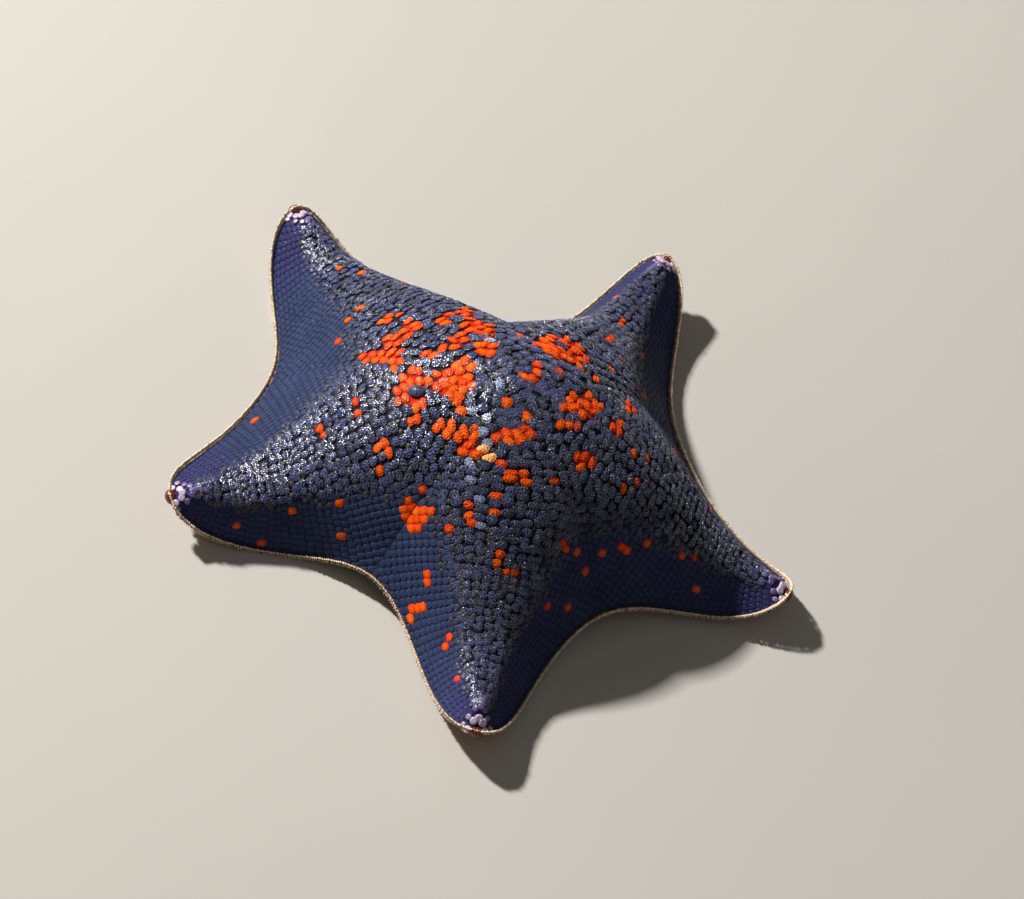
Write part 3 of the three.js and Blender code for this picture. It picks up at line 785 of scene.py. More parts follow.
def take_shape(piece):
    """The corners and faces of a piece that is copied many times, in place of the piece."""
    points = np.array([vertex.co for vertex in piece.data.vertices])
    faces = {}
    for polygon in piece.data.polygons:
        faces.setdefault(len(polygon.vertices), []).append(list(polygon.vertices))
    bpy.data.objects.remove(piece)
    return points, [np.array(group_of) for group_of in faces.values()]


def drawn_up(sides, radius, rings, dome, sink=0.0):
    """The shape of a small round piece: a disc drawn up ring by ring, each by a rise and a
    widening, closed by a dome, and sunk a little."""
    bpy.ops.mesh.primitive_circle_add(vertices=sides, radius=radius, fill_type="NGON", location=(0, 0, 0))
    bpy.ops.object.mode_set(mode="EDIT")
    bpy.ops.mesh.select_all(action="SELECT")
    for rise, widening in rings:
        bpy.ops.mesh.extrude_region_move(TRANSFORM_OT_translate={"value": (0, 0, rise)})
        bpy.ops.transform.resize(value=(widening, widening, 1), center_override=(0, 0, 0))
    bpy.ops.mesh.poke(offset=dome)
    bpy.ops.mesh.select_all(action="SELECT")
    bpy.ops.mesh.normals_make_consistent(inside=False)
    bpy.ops.transform.translate(value=(0, 0, -sink))
    bpy.ops.object.mode_set(mode="OBJECT")
    return take_shape(bpy.context.object)


def copied(name, shape, faces, places, attributes, uv):
    """One mesh of many copies of a shape, each with its own corners, attributes and map."""
    offsets = np.arange(len(places))[:, None, None] * len(shape)
    lists = [(sided[None] + offsets).reshape(-1, sided.shape[1]) for sided in faces]
    repeated = [
        (title, kind, np.repeat(values, len(shape), 0) if len(values) == len(places) else values)
        for title, kind, values in attributes
    ]
    return new_mesh(name, places.reshape(-1, 3), lists, repeated, uv.reshape(-1, 2))


def squared(x, y, square):
    """Draws a round shape out towards a rounded square, as the power rises from 2."""
    angle = np.arctan2(y, x)
    return (abs(np.cos(angle)) ** square + abs(np.sin(angle)) ** square) ** (-1 / square)


def sector_uv(s, across):
    """Places on the map of one arm's plates. Each arm's piece has the whole map to itself."""
    return SECTOR_UV_START + np.stack([s, across], -1) * SECTOR_UV_SCALE


# One plate: a ring sunk in the skin, its rim, its shoulder and its top.
plate_shape, plate_faces = drawn_up(PLATE_SIDES, 0.9, ((0.95, 1.1), (0.55, 0.7)), 0.14, sink=0.7)
plate_top_highlight = plate_shape[:, 2] > 0.85
# Plates are painted at 0.7 of their colour on the ridges: painted shade under their granules.
plate_finish, *_ = star_surface("plate_finish", 0.7, 0.75, 0.25, 0.4, 0.5, 0.12)
for arm, name in enumerate(ARM_NAMES):
    mine = plate_arm == arm
    count = mine.sum()
    shape = np.broadcast_to(plate_shape, (count, *plate_shape.shape)).copy()
    grow = squared(shape[..., 0], shape[..., 1], plate_square[mine][:, None])
    wander = draw.uniform(0, 2 * math.pi, (count, 1))
    angle = np.arctan2(shape[..., 1], shape[..., 0])
    grow *= 1 + EDGE_WANDER * plate_ridge[mine][:, None] * np.sin(3 * angle + wander)
    shape[..., :2] *= grow[..., None]
    shape[..., 1] += plate_bend[mine][:, None] * (shape[..., 0] ** 2 - BEND_MIDDLE)
    shape *= np.stack([plate_half_x[mine], plate_half_y[mine], plate_rise[mine]], -1)[:, None]
    base = plate_point[mine] - plate_z[mine] * SKIN_DEPTH
    places = base[:, None] + shape @ np.stack([plate_x[mine], plate_y[mine], plate_z[mine]], 1)
    # Plate tops are painted lighter than their sides: a painted highlight over each plate's random tone.
    shade = (0.5 * plate_shade[mine][:, None] + 0.5 * plate_top_highlight).ravel()
    footprint = np.stack([-shape[..., 1], shape[..., 0]], -1) * (PLATE_UV_SHARE * SECTOR_UV_SCALE)
    piece = copied(
        "plates_" + name, plate_shape, plate_faces, places,
        [("marks", "FLOAT_COLOR", plate_marks[mine]), ("shade", "FLOAT", shade)],
        sector_uv(plate_s[mine], plate_across[mine])[:, None] + footprint,
    )
    piece.data.materials.append(plate_finish)
    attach(piece, "root")

# ---- Granules ---------------------------------------------------------------------------------
# Each plate carries a cluster of blunt granules, like a bed of beads, about a third of a
# millimetre apart. They are glassy bone under wet skin, and the ones that face the light glint.

RIDGE_GRANULE_AREA = 0.095
FLANK_GRANULE_AREA = 0.23
GRANULE_RADIUS = 0.175
RIDGE_GRANULE_HEIGHT = 0.15
FLANK_GRANULE_HEIGHT = 0.035
GRANULE_LEAN = 0.11
GRANULE_SINK = 0.02
GRANULE_COAT_ROUGHNESS = 0.16
GRANULE_COAT_IOR = 2.2
GRANULE_SPREAD = 0.02
FEWEST_INSIDE = 5
INSIDE_A_RIM, INSIDE_A_FLANK_PLATE = 0.6, 0.9
RIM_PITCH = 0.36
RIM_SHARE = 0.84
RIM_LEAN = 0.25
DOME_RADII, DOME_HEIGHTS = [0, 0.7, 1, 1.1], [0.94, 0.8, 0.25, 0]
TUFT_UV = 0.0015

bead = drawn_up(5, 1, ((0.84, 0.82), (0.12, 0.72)), 0.035)
granule_finish, _, shader, *_ = star_surface("granule_finish", 1.0, 0.8, 0.16, 1.0, 0.08, 0.12)
shader["Coat Roughness"].default_value = GRANULE_COAT_ROUGHNESS
shader["Coat IOR"].default_value = GRANULE_COAT_IOR
cover = np.where(plate_ridge > 0.5, RIDGE_GRANULE_AREA, FLANK_GRANULE_AREA)
plate_area = plate_half_x * plate_half_y * (math.pi + 0.5 * (1 - plate_ridge))
rim_length = 2 * math.pi * RIM_SHARE * np.sqrt((plate_half_x**2 + plate_half_y**2) / 2)
rim_count = np.where(plate_ridge > 0.5, np.round(rim_length / RIM_PITCH), 0).astype(int)
per_plate = rim_count + np.maximum(FEWEST_INSIDE, np.round(plate_area / cover) - rim_count).astype(int)


def planted_mesh(name, shape_and_faces, points, axes, sizes, roots, attributes=()):
    """One mesh of many small pieces. Each stands at its point on its own three axes, has its own
    sizes along them, and keeps a small patch of the map at its root."""
    shape, faces = shape_and_faces
    places = points[:, None] + shape @ (np.stack(axes, 1) * np.stack(sizes, -1)[..., None])
    return copied(name, shape, faces, places, attributes, roots[:, None] + shape[:, :2] * TUFT_UV)


def on_plates(owner, x, y, up):
    """Points by how far across, along and above the middle of its plate each one lies."""
    aside = plate_x[owner] * x[:, None] + plate_y[owner] * y[:, None]
    return plate_point[owner] + aside + plate_z[owner] * np.reshape(up, (-1, 1))


for arm, side in HALF_ARMS:
    mine = np.nonzero((plate_arm == arm) & (plate_side == side))[0]
    owner = np.repeat(mine, per_plate[mine])
    first = np.cumsum(per_plate[mine]) - per_plate[mine]
    number = np.arange(len(owner)) - np.repeat(first, per_plate[mine])
    rim = rim_count[owner]
    inner = number - rim
    inner_reach = np.where(rim > 0, INSIDE_A_RIM, INSIDE_A_FLANK_PLATE)
    inner_radius = inner_reach * np.sqrt((np.maximum(inner, 0) + 0.5) / (per_plate[owner] - rim))
    radius = np.where(inner < 0, RIM_SHARE, inner_radius)
    angle = np.where(inner < 0, number * 2 * math.pi / np.maximum(rim, 1), inner * GOLDEN_TURN)
    angle += plate_shade[owner] * 40
    radius = radius + draw.normal(0, GRANULE_SPREAD, len(owner))
    x, y = radius * np.cos(angle), radius * np.sin(angle)
    grow = squared(x, y, plate_square[owner])
    x, y = x * grow, y * grow
    y = y + plate_bend[owner] * (x**2 - BEND_MIDDLE)
    x, y = x * plate_half_x[owner], y * plate_half_y[owner]
    lift = np.interp(radius, DOME_RADII, DOME_HEIGHTS) * plate_rise[owner]
    point = on_plates(owner, x, y, lift - SKIN_DEPTH - GRANULE_SINK)
    lean = RIM_LEAN * radius**2
    lean_x = np.cos(angle) * lean + draw.normal(0, GRANULE_LEAN, len(owner))
    lean_y = np.sin(angle) * lean + draw.normal(0, GRANULE_LEAN, len(owner))
    axis_z = unit(plate_z[owner] + plate_x[owner] * lean_x[:, None] + plate_y[owner] * lean_y[:, None])
    axis_x = unit(np.cross(plate_y[owner], axis_z))
    size = GRANULE_RADIUS * draw.uniform(0.82, 1.12, len(owner)) * (1 - 0.15 * (1 - plate_ridge[owner]))
    height = FLANK_GRANULE_HEIGHT + (RIDGE_GRANULE_HEIGHT - FLANK_GRANULE_HEIGHT) * plate_ridge[owner]
    height = height * draw.uniform(0.8, 1.15, len(owner)) * (1 - 0.4 * (plate_orange[owner] > 0))
    # Middle granules are painted lighter and rim granules darker: painted highlight and painted shade over
    # the plate's random tone.
    shade = plate_shade[owner] * 0.5 + 0.75 - 0.8 * radius + draw.uniform(-0.1, 0.1, len(owner))
    half = "left" if side > 0 else "right"
    piece = planted_mesh(
        f"granules_{ARM_NAMES[arm]}_{half}", bead, point, (axis_x, np.cross(axis_z, axis_x), axis_z),
        (size, size, height), sector_uv(plate_s[owner] - y, plate_across[owner] + x),
        [("marks", "FLOAT_COLOR", plate_marks[owner]), ("shade", "FLOAT", np.clip(shade, 0, 1))],
    )
    piece.data.materials.append(granule_finish)
    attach(piece, "root")

# ---- Papulae ----------------------------------------------------------------------------------
# Small gills of thin soft skin push out between the plates of the disc and the ridges. They are
# olive-brown fingers, full of body fluid, each drawn in to a nub.

PAPULA_SHARE = 0.7
PAPULA_RADIUS = 0.35
PAPULA_HEIGHT = 0.17
PAPULA_SINK = 0.03
PAPULA_SPREAD = 0.12
PAPULA_LEAST_RIDGE = 0.15

draw = np.random.default_rng(23)


def mottled_surface(name, scale, dark, light, gloss, patch=None):
    """A wet finish between two colours, with a third where an attribute of the mesh is set."""
    material, tree, shader, place = new_material(name)
    colour = mixed(tree, noise(tree, place, scale, 3), dark, light)
    if patch:
        title, patch_colour = patch
        colour = mixed(tree, attribute(tree, title), colour, patch_colour)
    tree.links.new(colour, shader["Base Color"])
    wet_surface(tree, shader, place, **gloss)
    return material, shader


papula_finish, shader = mottled_surface(
    "papula_finish", 900, (26, 25, 22), (66, 60, 44), {"dry": 0.6, "wet": 0.45, "coat": 0.1, "bump": 0.3})
let_light_in(shader, 0.2, 0.4)
for name, chosen in (("papulae_front", plate_arm <= 1), ("papulae_back", plate_arm > 1)):
    growing = draw.uniform(0, 1, plate_count) < PAPULA_SHARE
    mine = np.nonzero(chosen & growing & (plate_ridge > PAPULA_LEAST_RIDGE) & (plate_orange == 0))[0]
    jitter = draw.normal(0, PAPULA_SPREAD, (len(mine), 2))
    corner_x = plate_side[mine] * plate_wide[mine] / 2 + jitter[:, 0]
    corner_y = plate_deep[mine] / 2 + jitter[:, 1]
    point = on_plates(mine, corner_x, corner_y, -SKIN_DEPTH - PAPULA_SINK)
    size = PAPULA_RADIUS * draw.uniform(0.7, 1.3, len(mine))
    height = PAPULA_HEIGHT * draw.uniform(0.6, 1.2, len(mine))
    piece = planted_mesh(
        name, bead, point, (plate_x[mine], plate_y[mine], plate_z[mine]), (size, size, height),
        sector_uv(plate_s[mine] - corner_y, plate_across[mine] + corner_x),
    )
    piece.data.materials.append(papula_finish)
    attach(piece, "root")

# ---- Fringe -----------------------------------------------------------------------------------
# The plates of the margin carry small fans of blunt spinelets, which make a pale tan fringe round
# the star where it meets the rock. They are bare limy rods, each set in a socket of skin.

FRINGE_PITCH = 0.84
FRINGE_LENGTH = 0.52
FRINGE_FANS = ((0.0, (-0.34, 0, 0.34)), (1.0, (-0.3, 0.02, 0.32)))
FAN_SPREAD = 0.9
FRINGE_SEAT = 0.2
UPPER_SEAT_LOSS = 0.25
FRINGE_DROP = 0.1
LEVEL_RISE = 0.3
LOWER_TILT, UPPER_TILT_GAIN = -0.12, 0.8
SPINELET_RADIUS = 0.15
SPINELET_CLEARANCE = 0.02
EDGE_PROBE = 0.004

rod = drawn_up(5, 1, ((0.72, 1.08), (0.2, 0.68)), 0.08)


def rods(name, points, directions, radii, lengths, roots, shade):
    """One mesh of many spinelets, each from its root, along its own direction."""
    upright = abs(directions[:, 2:]) >= 0.9
    aside = unit(np.cross(directions, np.where(upright, [[1.0, 0, 0]], [[0, 0, 1.0]])))
    axes = (aside, np.cross(directions, aside), directions)
    return planted_mesh(name, rod, points, axes, (radii, radii, lengths), roots, [("shade", "FLOAT", shade)])


def bone_surface(name, dark, light, dry=0.5, wet=0.28):
    """Bare limy bone, paler where a spinelet or plate is worn, with a thin film of water; on the fringe
    the lower row is also kept darker as painted shade.
    """
    material, tree, shader, place = new_material(name)
    share = worked(tree, "MULTIPLY_ADD", noise(tree, place, 800, 4), 0.8, -0.4)
    share = worked(tree, "ADD", share, attribute(tree, "shade"), clamp=True)
    tree.links.new(mixed(tree, share, dark, light), shader["Base Color"])
    wet_surface(tree, shader, place, dry, wet, 0.4, 0.5)
    return material, shader


fringe_finish, _ = bone_surface("fringe_finish", (146, 120, 98), (236, 214, 182))
fringe_parts = []
for arm, side in HALF_ARMS:
    dense = np.linspace(0, 1, 1201)
    path = underside_point(arm, side, dense, 0 * dense + 1)
    run = np.concatenate([[0], np.cumsum(np.linalg.norm(np.diff(path, axis=0), axis=1))])
    count = int(run[-1] / FRINGE_PITCH)
    middle = (np.arange(count) + 0.5) / count * run[-1]
    same = np.ones(count)
    for level, spots in FRINGE_FANS:
        for spot in spots:
            along = np.interp(middle + spot * FRINGE_PITCH * FAN_SPREAD, run, dense)
            fringe_parts.append([same * arm, same * side, along, same * level, same * spot])
arm, side, along, level, spot = np.hstack(fringe_parts)
arm, side, rim = arm.astype(int), side.astype(int), np.ones(len(arm))
edge = underside_point(arm, side, along, rim)
following = unit(underside_point(arm, side, np.minimum(along + EDGE_PROBE, 1), rim)
                 - underside_point(arm, side, np.maximum(along - EDGE_PROBE, 0), rim))
outward = unit(np.cross(UP, following)) * side[:, None]
fan = spot[:, None] * FAN_SPREAD * following
tilt = LOWER_TILT + UPPER_TILT_GAIN * level
heading = unit(outward * (1 - 0.25 * level[:, None]) + fan + UP * tilt[:, None])
heading = unit(heading + draw.normal(0, 0.09, heading.shape))
inset = SKIN_DEPTH + FRINGE_SEAT - UPPER_SEAT_LOSS * level
start = edge - outward * inset[:, None] + UP * (LEVEL_RISE * level - FRINGE_DROP)[:, None]
length = FRINGE_LENGTH * draw.uniform(0.85, 1.15, len(start)) * (1.15 - 0.2 * level)
radius = SPINELET_RADIUS * draw.uniform(0.85, 1.1, len(start))
start[:, 2] = np.maximum(start[:, 2], radius + SPINELET_CLEARANCE)
heading[:, 2] = np.maximum(heading[:, 2], (radius * 1.1 + 0.03 - start[:, 2]) / length)
_, s, across = sheet_place(arm, side, along, rim)
# The fringe's lower row is painted darker than the upper row over it: painted shade.
piece = rods(
    "fringe", start, unit(heading), radius, length, star_uv(TOP_UV_CENTRE, arm, s, across),
    np.clip(0.45 + 0.35 * level + draw.normal(0, 0.2, len(start)), 0, 1),
)
piece.data.materials.append(fringe_finish)
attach(piece, "root")

# ---- Arm tips ---------------------------------------------------------------------------------
# At each tip a red-brown cushion of light-sensing cups, the eyespot, looks out of a ring of pale
# swollen knobs. The cups sit on the base of the last, feeler-like tube foot.

EYESPOT_HALF_SIZE = np.array([0.85, 1.1, 0.75])
EYESPOT_INSET = 0.35
EYESPOT_HEIGHT = 0.95
CUSHION_SHARE = 0.94
CUP_SEAT = 0.9
CUP_TRIALS = 70
CUP_RADIUS = 0.13
KNOB_RADIUS = 0.6
KNOB_HEIGHT_SHARE = 0.62
KNOB_SINK = 0.12
# Knobs by how far each is from the tip, how far it is aside, and its size.
KNOB_PLACES = [
    (0.75, 0, 1), (0.7, 0.68, 1), (0.42, 1.22, 0.95),
    (1.75, 0, 0.72), (1.6, 0.72, 0.75), (1.35, 1.35, 0.75), (1.0, 1.9, 0.7),
]

eyespot_finish, shader = mottled_surface(
    "eyespot_finish", 1600, (66, 18, 10), (138, 50, 24), {"dry": 0.35, "wet": 0.18, "coat": 0.7, "bump": 0.4})
let_light_in(shader, 0.15, 0.5)
bpy.ops.mesh.primitive_uv_sphere_add(segments=20, ring_count=12, radius=1, location=(0, 0, 0))
bpy.ops.object.mode_set(mode="EDIT")
bpy.ops.mesh.select_all(action="SELECT")
bpy.ops.transform.resize(value=[CUSHION_SHARE] * 3, center_override=(0, 0, 0))
bpy.ops.object.mode_set(mode="OBJECT")
cushion_shape, cushion_faces = take_shape(bpy.context.object)
number = np.arange(CUP_TRIALS)
height = 1 - 2 * (number + 0.5) / CUP_TRIALS
ring = np.sqrt(1 - height**2)
facing = np.stack([height, ring * np.cos(number * GOLDEN_TURN), ring * np.sin(number * GOLDEN_TURN)], -1)
facing = facing[facing[:, 0] > -0.3]
cup_size = np.full(len(facing), CUP_RADIUS)
for index, name in enumerate(ARM_NAMES):
    length = ARM_LENGTH[index]
    spots = np.array([[length - EYESPOT_INSET, 0], [length - 4, 0], [length - 1, 1], [length - 1, -1]])
    at, inner, left, right = body_point(index, spots[:, 0], spots[:, 1], EYESPOT_HEIGHT)
    along = unit(at - inner)
    normal = unit(np.cross(along, left - right))
    placing = np.stack([along, np.cross(normal, along), normal])
    root = star_uv(TOP_UV_CENTRE, index, length, 0.0)
    swell = cushion_shape * EYESPOT_HALF_SIZE @ placing
    cushion = new_mesh("eyespot_skin_" + name, swell + at, cushion_faces, uv=root + swell[:, :2] * 0.004)
    cup_z = facing @ placing
    cup_x = unit(np.cross(cup_z, [0.3, 0.5, 0.8]))
    cups = planted_mesh(
        "eyespot_cups_" + name, bead, facing * (CUP_SEAT * EYESPOT_HALF_SIZE) @ placing + at,
        (cup_x, np.cross(cup_z, cup_x), cup_z), (cup_size, cup_size, cup_size), root + facing[:, 1:] * 0.006,
    )
    for piece in (cushion, cups):
        piece.data.materials.append(eyespot_finish)
        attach(piece, "root")
    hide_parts("eyespot_" + name)

knob_finish, shader = bone_surface("knob_finish", (96, 78, 132), (206, 190, 208), 0.4, 0.2)
let_light_in(shader, 0.2, 0.5)
bpy.ops.mesh.primitive_uv_sphere_add(segments=12, ring_count=8, radius=1, location=(0, 0, 0))
knob = bpy.context.object
bpy.ops.object.mode_set(mode="EDIT")
bpy.ops.mesh.select_all(action="DESELECT")
bpy.ops.object.mode_set(mode="OBJECT")
for vertex in knob.data.vertices:
    vertex.select = vertex.co.z > 0.85
bpy.ops.object.mode_set(mode="EDIT")
bpy.ops.transform.translate(value=(0, 0, -0.32))
bpy.ops.object.mode_set(mode="OBJECT")
knob_shape = take_shape(knob)
knob_parts = []
for arm in range(5):
    for from_tip, aside, size in KNOB_PLACES:
        for side in (-1, 1) if aside else (1,):
            spot = ARM_LENGTH[arm] - from_tip + draw.normal(0, 0.06), side * aside + draw.normal(0, 0.05)
            knob_parts.append((arm, side, *spot, size * KNOB_RADIUS * draw.uniform(0.88, 1.1)))
arm, side, s, across, size = np.array(knob_parts).T
arm, side = arm.astype(int), side.astype(int)
along, out = top_place(arm, side, s, across)
_, *axes = surface_frame(top_point, arm, side, np.minimum(along, 0.99), out)
piece = planted_mesh(
    "tip_knobs", knob_shape, top_point(arm, side, along, out) - axes[2] * KNOB_SINK, axes,
    (size, size, size * KNOB_HEIGHT_SHARE), star_uv(TOP_UV_CENTRE, arm, s, across),
    [("shade", "FLOAT", np.clip(1.15 - 0.75 * (ARM_LENGTH[arm] - s), 0.05, 0.9))],
)
piece.data.materials.append(knob_finish)
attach(piece, "root")

# ---- Madreporite ------------------------------------------------------------------------------
# The sieve plate lets sea water into the animal's water pipes. It is an oval of bone off the disc's
# centre, cut by fine grooves that wander outwards, and stained blue-grey by its skin.

SIEVE_HALF_SIZE = np.array([1.35, 0.95, 0.6])
SIEVE_GROOVES = 18
SIEVE_GROOVE_DEPTH = 0.12

sieve_along, sieve_out = np.array(SIEVE_ALONG), np.array(SIEVE_OUT)
aside = top_point(SIEVE_ARM, SIEVE_SIDE, sieve_along + SIEVE_NUDGE, sieve_out) - sieve_place
normal = unit(np.cross(sieve_outward, aside))
placing = np.stack([sieve_outward, np.cross(normal, sieve_outward), normal])
bpy.ops.mesh.primitive_uv_sphere_add(segments=4 * SIEVE_GROOVES, ring_count=40, radius=1, location=(0, 0, 0))
sieve = bpy.context.object
bpy.ops.object.mode_set(mode="EDIT")
bpy.ops.mesh.select_all(action="DESELECT")
bpy.ops.object.mode_set(mode="OBJECT")
for vertex in sieve.data.vertices:
    turn, from_axis, height = math.atan2(vertex.co.y, vertex.co.x), vertex.co.xy.length, vertex.co.z
    wander = 0.9 * math.sin(5 * height + 2 * math.sin(3 * turn)) + 0.35 * math.sin(13 * height + turn)
    grooved = math.sin(SIEVE_GROOVES * turn + wander * 2.5) < -0.2
    vertex.select = grooved and height > -0.2 and from_axis > 0.12
bpy.ops.object.mode_set(mode="EDIT")
bpy.ops.transform.shrink_fatten(value=-SIEVE_GROOVE_DEPTH)
bpy.ops.object.mode_set(mode="OBJECT")
sieve_points, sieve_faces = take_shape(sieve)
_, s, across = sheet_place(SIEVE_ARM, SIEVE_SIDE, sieve_along, sieve_out)
piece = new_mesh(
    "sieve_plate", sieve_points * SIEVE_HALF_SIZE @ placing + sieve_place, sieve_faces,
    [("groove", "FLOAT", np.linalg.norm(sieve_points, axis=1) < 0.97)],
    star_uv(TOP_UV_CENTRE, SIEVE_ARM, s, across) + sieve_points[:, :2] * UV_SCALE,
)
# The grooves are painted near black: painted shade in them.
sieve_finish, _ = mottled_surface(
    "sieve_finish", 1300, (40, 44, 76), (96, 102, 142), {"dry": 0.4, "wet": 0.2, "coat": 0.6, "bump": 0.4},
    ("groove", (14, 15, 24)))
piece.data.materials.append(sieve_finish)
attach(piece, "root")
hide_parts("madreporite")

# ---- Underside --------------------------------------------------------------------------------
# Below, small plates lie in slanting rows from groove to margin, each with a comb of short blunt
# spinelets, and a line of longer ones guards each groove. All are ochre limy bone in thin skin.

SOLE_PITCH = 1.5
SOLE_START = 3.1
SOLE_FIRST_ROW = 5.5
SOLE_TIP_CLEARANCE = 2.5
SOLE_PLATE_HALF = 0.66
SOLE_PLATE_RISE = 0.28
SOLE_SLANT = 0.35
EDGE_CLEARANCE = 0.95
COMB = (-0.42, -0.14, 0.14, 0.42)
COMB_LENGTH = 0.78
COMB_RADIUS = 0.145
GUARD_PITCH = 0.62
GUARD_ROWS = (0.0, 0.45)
GUARD_LENGTH = 1.3
GUARD_RADIUS = 0.16

sole_finish, _ = bone_surface("sole_finish", (140, 92, 44), (226, 176, 104))
comb_finish, _ = bone_surface("comb_finish", (176, 128, 70), (240, 208, 148))
sole_parts = []
for arm, side in HALF_ARMS:
    for column in range(int(ARM_LENGTH[arm] * 0.8 / SOLE_PITCH)):
        aside = SOLE_START + column * SOLE_PITCH
        s = np.arange(SOLE_FIRST_ROW + 0.5 * SOLE_PITCH * (column % 2), ARM_LENGTH[arm] - 1.5, SOLE_PITCH)
        s = s[aside < s * math.tan(SECTOR / 2) - 0.35]
        sole_parts.append([0 * s + arm, 0 * s + side, s, 0 * s + side * aside])
sole_arm, sole_side, sole_s, sole_across = np.hstack(sole_parts)
sole_arm, sole_side = sole_arm.astype(int), sole_side.astype(int)
sole_along, sole_out = top_place(sole_arm, sole_side, sole_s, sole_across)
half_width = outline(sole_arm, sole_side, sole_along)[1]
within = (1 - sole_out) * half_width > EDGE_CLEARANCE
within &= sole_s < ARM_LENGTH[sole_arm] - SOLE_TIP_CLEARANCE
within &= abs(sole_side * sole_out * half_width - sole_across) < 0.05
sole_arm, sole_side, sole_s, sole_across, sole_along, sole_out = (
    values[within] for values in (sole_arm, sole_side, sole_s, sole_across, sole_along, sole_out))
sole_point, sole_x, sole_y, sole_z = surface_frame(
    underside_point, sole_arm, sole_side, sole_along, sole_out)
sole_count = len(sole_point)
sole_x, sole_y = turned(sole_x, sole_y, draw.normal(0, 0.12, sole_count) + SOLE_SLANT * sole_side)
base = sole_point - sole_z * SKIN_DEPTH
plate_size = SOLE_PLATE_HALF * draw.uniform(0.9, 1.08, sole_count)
plate_height = np.minimum(SOLE_PLATE_RISE, np.maximum(base[:, 2] - 0.03, 0.05) * 0.8)
sole_uv = star_uv(UNDERSIDE_UV_CENTRE, sole_arm, sole_s, sole_across)
piece = planted_mesh(
    "sole_plates", (plate_shape, plate_faces), base, (sole_x, sole_y, sole_z),
    (plate_size * 1.08, plate_size * 0.88, plate_height), sole_uv,
    [("shade", "FLOAT", draw.uniform(0.1, 0.7, sole_count))],
)
piece.data.materials.append(sole_finish)
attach(piece, "root")


def lifted(start, heading, radius, length):
    """Raises spinelets' roots and headings where they would go through the rock."""
    start[:, 2] = np.maximum(start[:, 2], radius + SPINELET_CLEARANCE)
    heading[:, 2] = np.maximum(heading[:, 2], (radius + SPINELET_CLEARANCE - start[:, 2]) / length)


owner = np.repeat(np.arange(sole_count), len(COMB))
spot = np.tile(COMB, sole_count)
lean = unit(
    sole_z[owner] * 0.8 - sole_y[owner] * 0.75 + sole_x[owner] * (spot * 1.1)[:, None]
    + draw.normal(0, 0.12, (len(owner), 3))
)
start = base[owner] + sole_x[owner] * (spot * 0.95)[:, None]
start += sole_z[owner] * (plate_height[owner] * 0.3)[:, None]
length = COMB_LENGTH * draw.uniform(0.8, 1.12, len(owner))
radius = COMB_RADIUS * draw.uniform(0.85, 1.1, len(owner))
lifted(start, lean, radius, length)
level = np.sqrt(np.maximum(1 - lean[:, 2] ** 2, 0)) / np.maximum(np.linalg.norm(lean[:, :2], axis=1), 1e-6)
lean[:, :2] *= level[:, None]
shade = draw.uniform(0.2, 0.95, len(owner))
piece = rods("sole_spinelets", start, lean, radius, length, sole_uv[owner], shade)
piece.data.materials.append(comb_finish)
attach(piece, "root")

guard_parts = []
for arm, side in HALF_ARMS:
    for row, offset in enumerate(GUARD_ROWS):
        s = np.arange(MOUTH_RADIUS + 2.2 + offset * 0.5, ARM_LENGTH[arm] - 2, GUARD_PITCH)
        narrow = 1 - 0.5 * smooth(s, ARM_LENGTH[arm] * 0.75, ARM_LENGTH[arm])
        across = side * (GROOVE_HALF_WIDTH - 0.15 + offset) * narrow
        guard_parts.append([0 * s + arm, 0 * s + side, s, across, 0 * s + row])
arm, side, s, across, row = np.hstack(guard_parts)
arm, side, row = arm.astype(int), side.astype(int), row[:, None]
along, out = top_place(arm, side, s, across)
point, axis_x, _, axis_z = surface_frame(underside_point, arm, side, along, out)
groove_line = body_point(arm, s, 0 * s, 0 * s)
inward = axis_x * side[:, None]
inward *= np.sign(np.sum(inward * (groove_line - point), axis=1))[:, None]
fan = draw.normal(0, 0.13, point.shape)
heading = unit(axis_z * (0.75 + 0.1 * row) + inward * (0.75 - 1.1 * row) + fan)
length = GUARD_LENGTH * draw.uniform(0.85, 1.1, len(s)) * (1 - 0.45 * smooth(s, 25, 50))
radius = GUARD_RADIUS * draw.uniform(0.9, 1.1, len(s))
start = point - axis_z * SKIN_DEPTH
lifted(start, heading, radius, length)
piece = rods(
    "groove_spinelets", start, unit(heading), radius, length,
    star_uv(UNDERSIDE_UV_CENTRE, arm, s, across), draw.uniform(0.3, 1, len(s)),
)
piece.data.materials.append(comb_finish)
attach(piece, "root")

# ---- Tube feet --------------------------------------------------------------------------------
# Two rows of soft hollow feet hang in each groove. Each is a muscular tube of pale yellow skin,
# wrinkled where it has shortened, with a round sucker at its end.

FOOT_PITCH = 1.55
FOOT_START = 5.4
FOOT_TIP_CLEARANCE = 2.6
FOOT_OFFSET = 1.05
FOOT_RADIUS = 0.33
FOOT_LENGTH = 3.6
FOOT_ROOT = 0.25
FOOT_SHORTEST = 0.5
FOOT_CLEARANCE = 0.05
FOOT_BOW = 0.16
SUCKER_CLEARANCE = 0.02
FOOT_RINGS = (
    (0.14, 1.1), (0.13, 0.86), (0.14, 1.12), (0.13, 0.85), (0.14, 1.1), (0.13, 0.82),
    (0.08, 1.0), (0.03, 1.75), (0.05, 1.03), (0.03, 0.74),
)

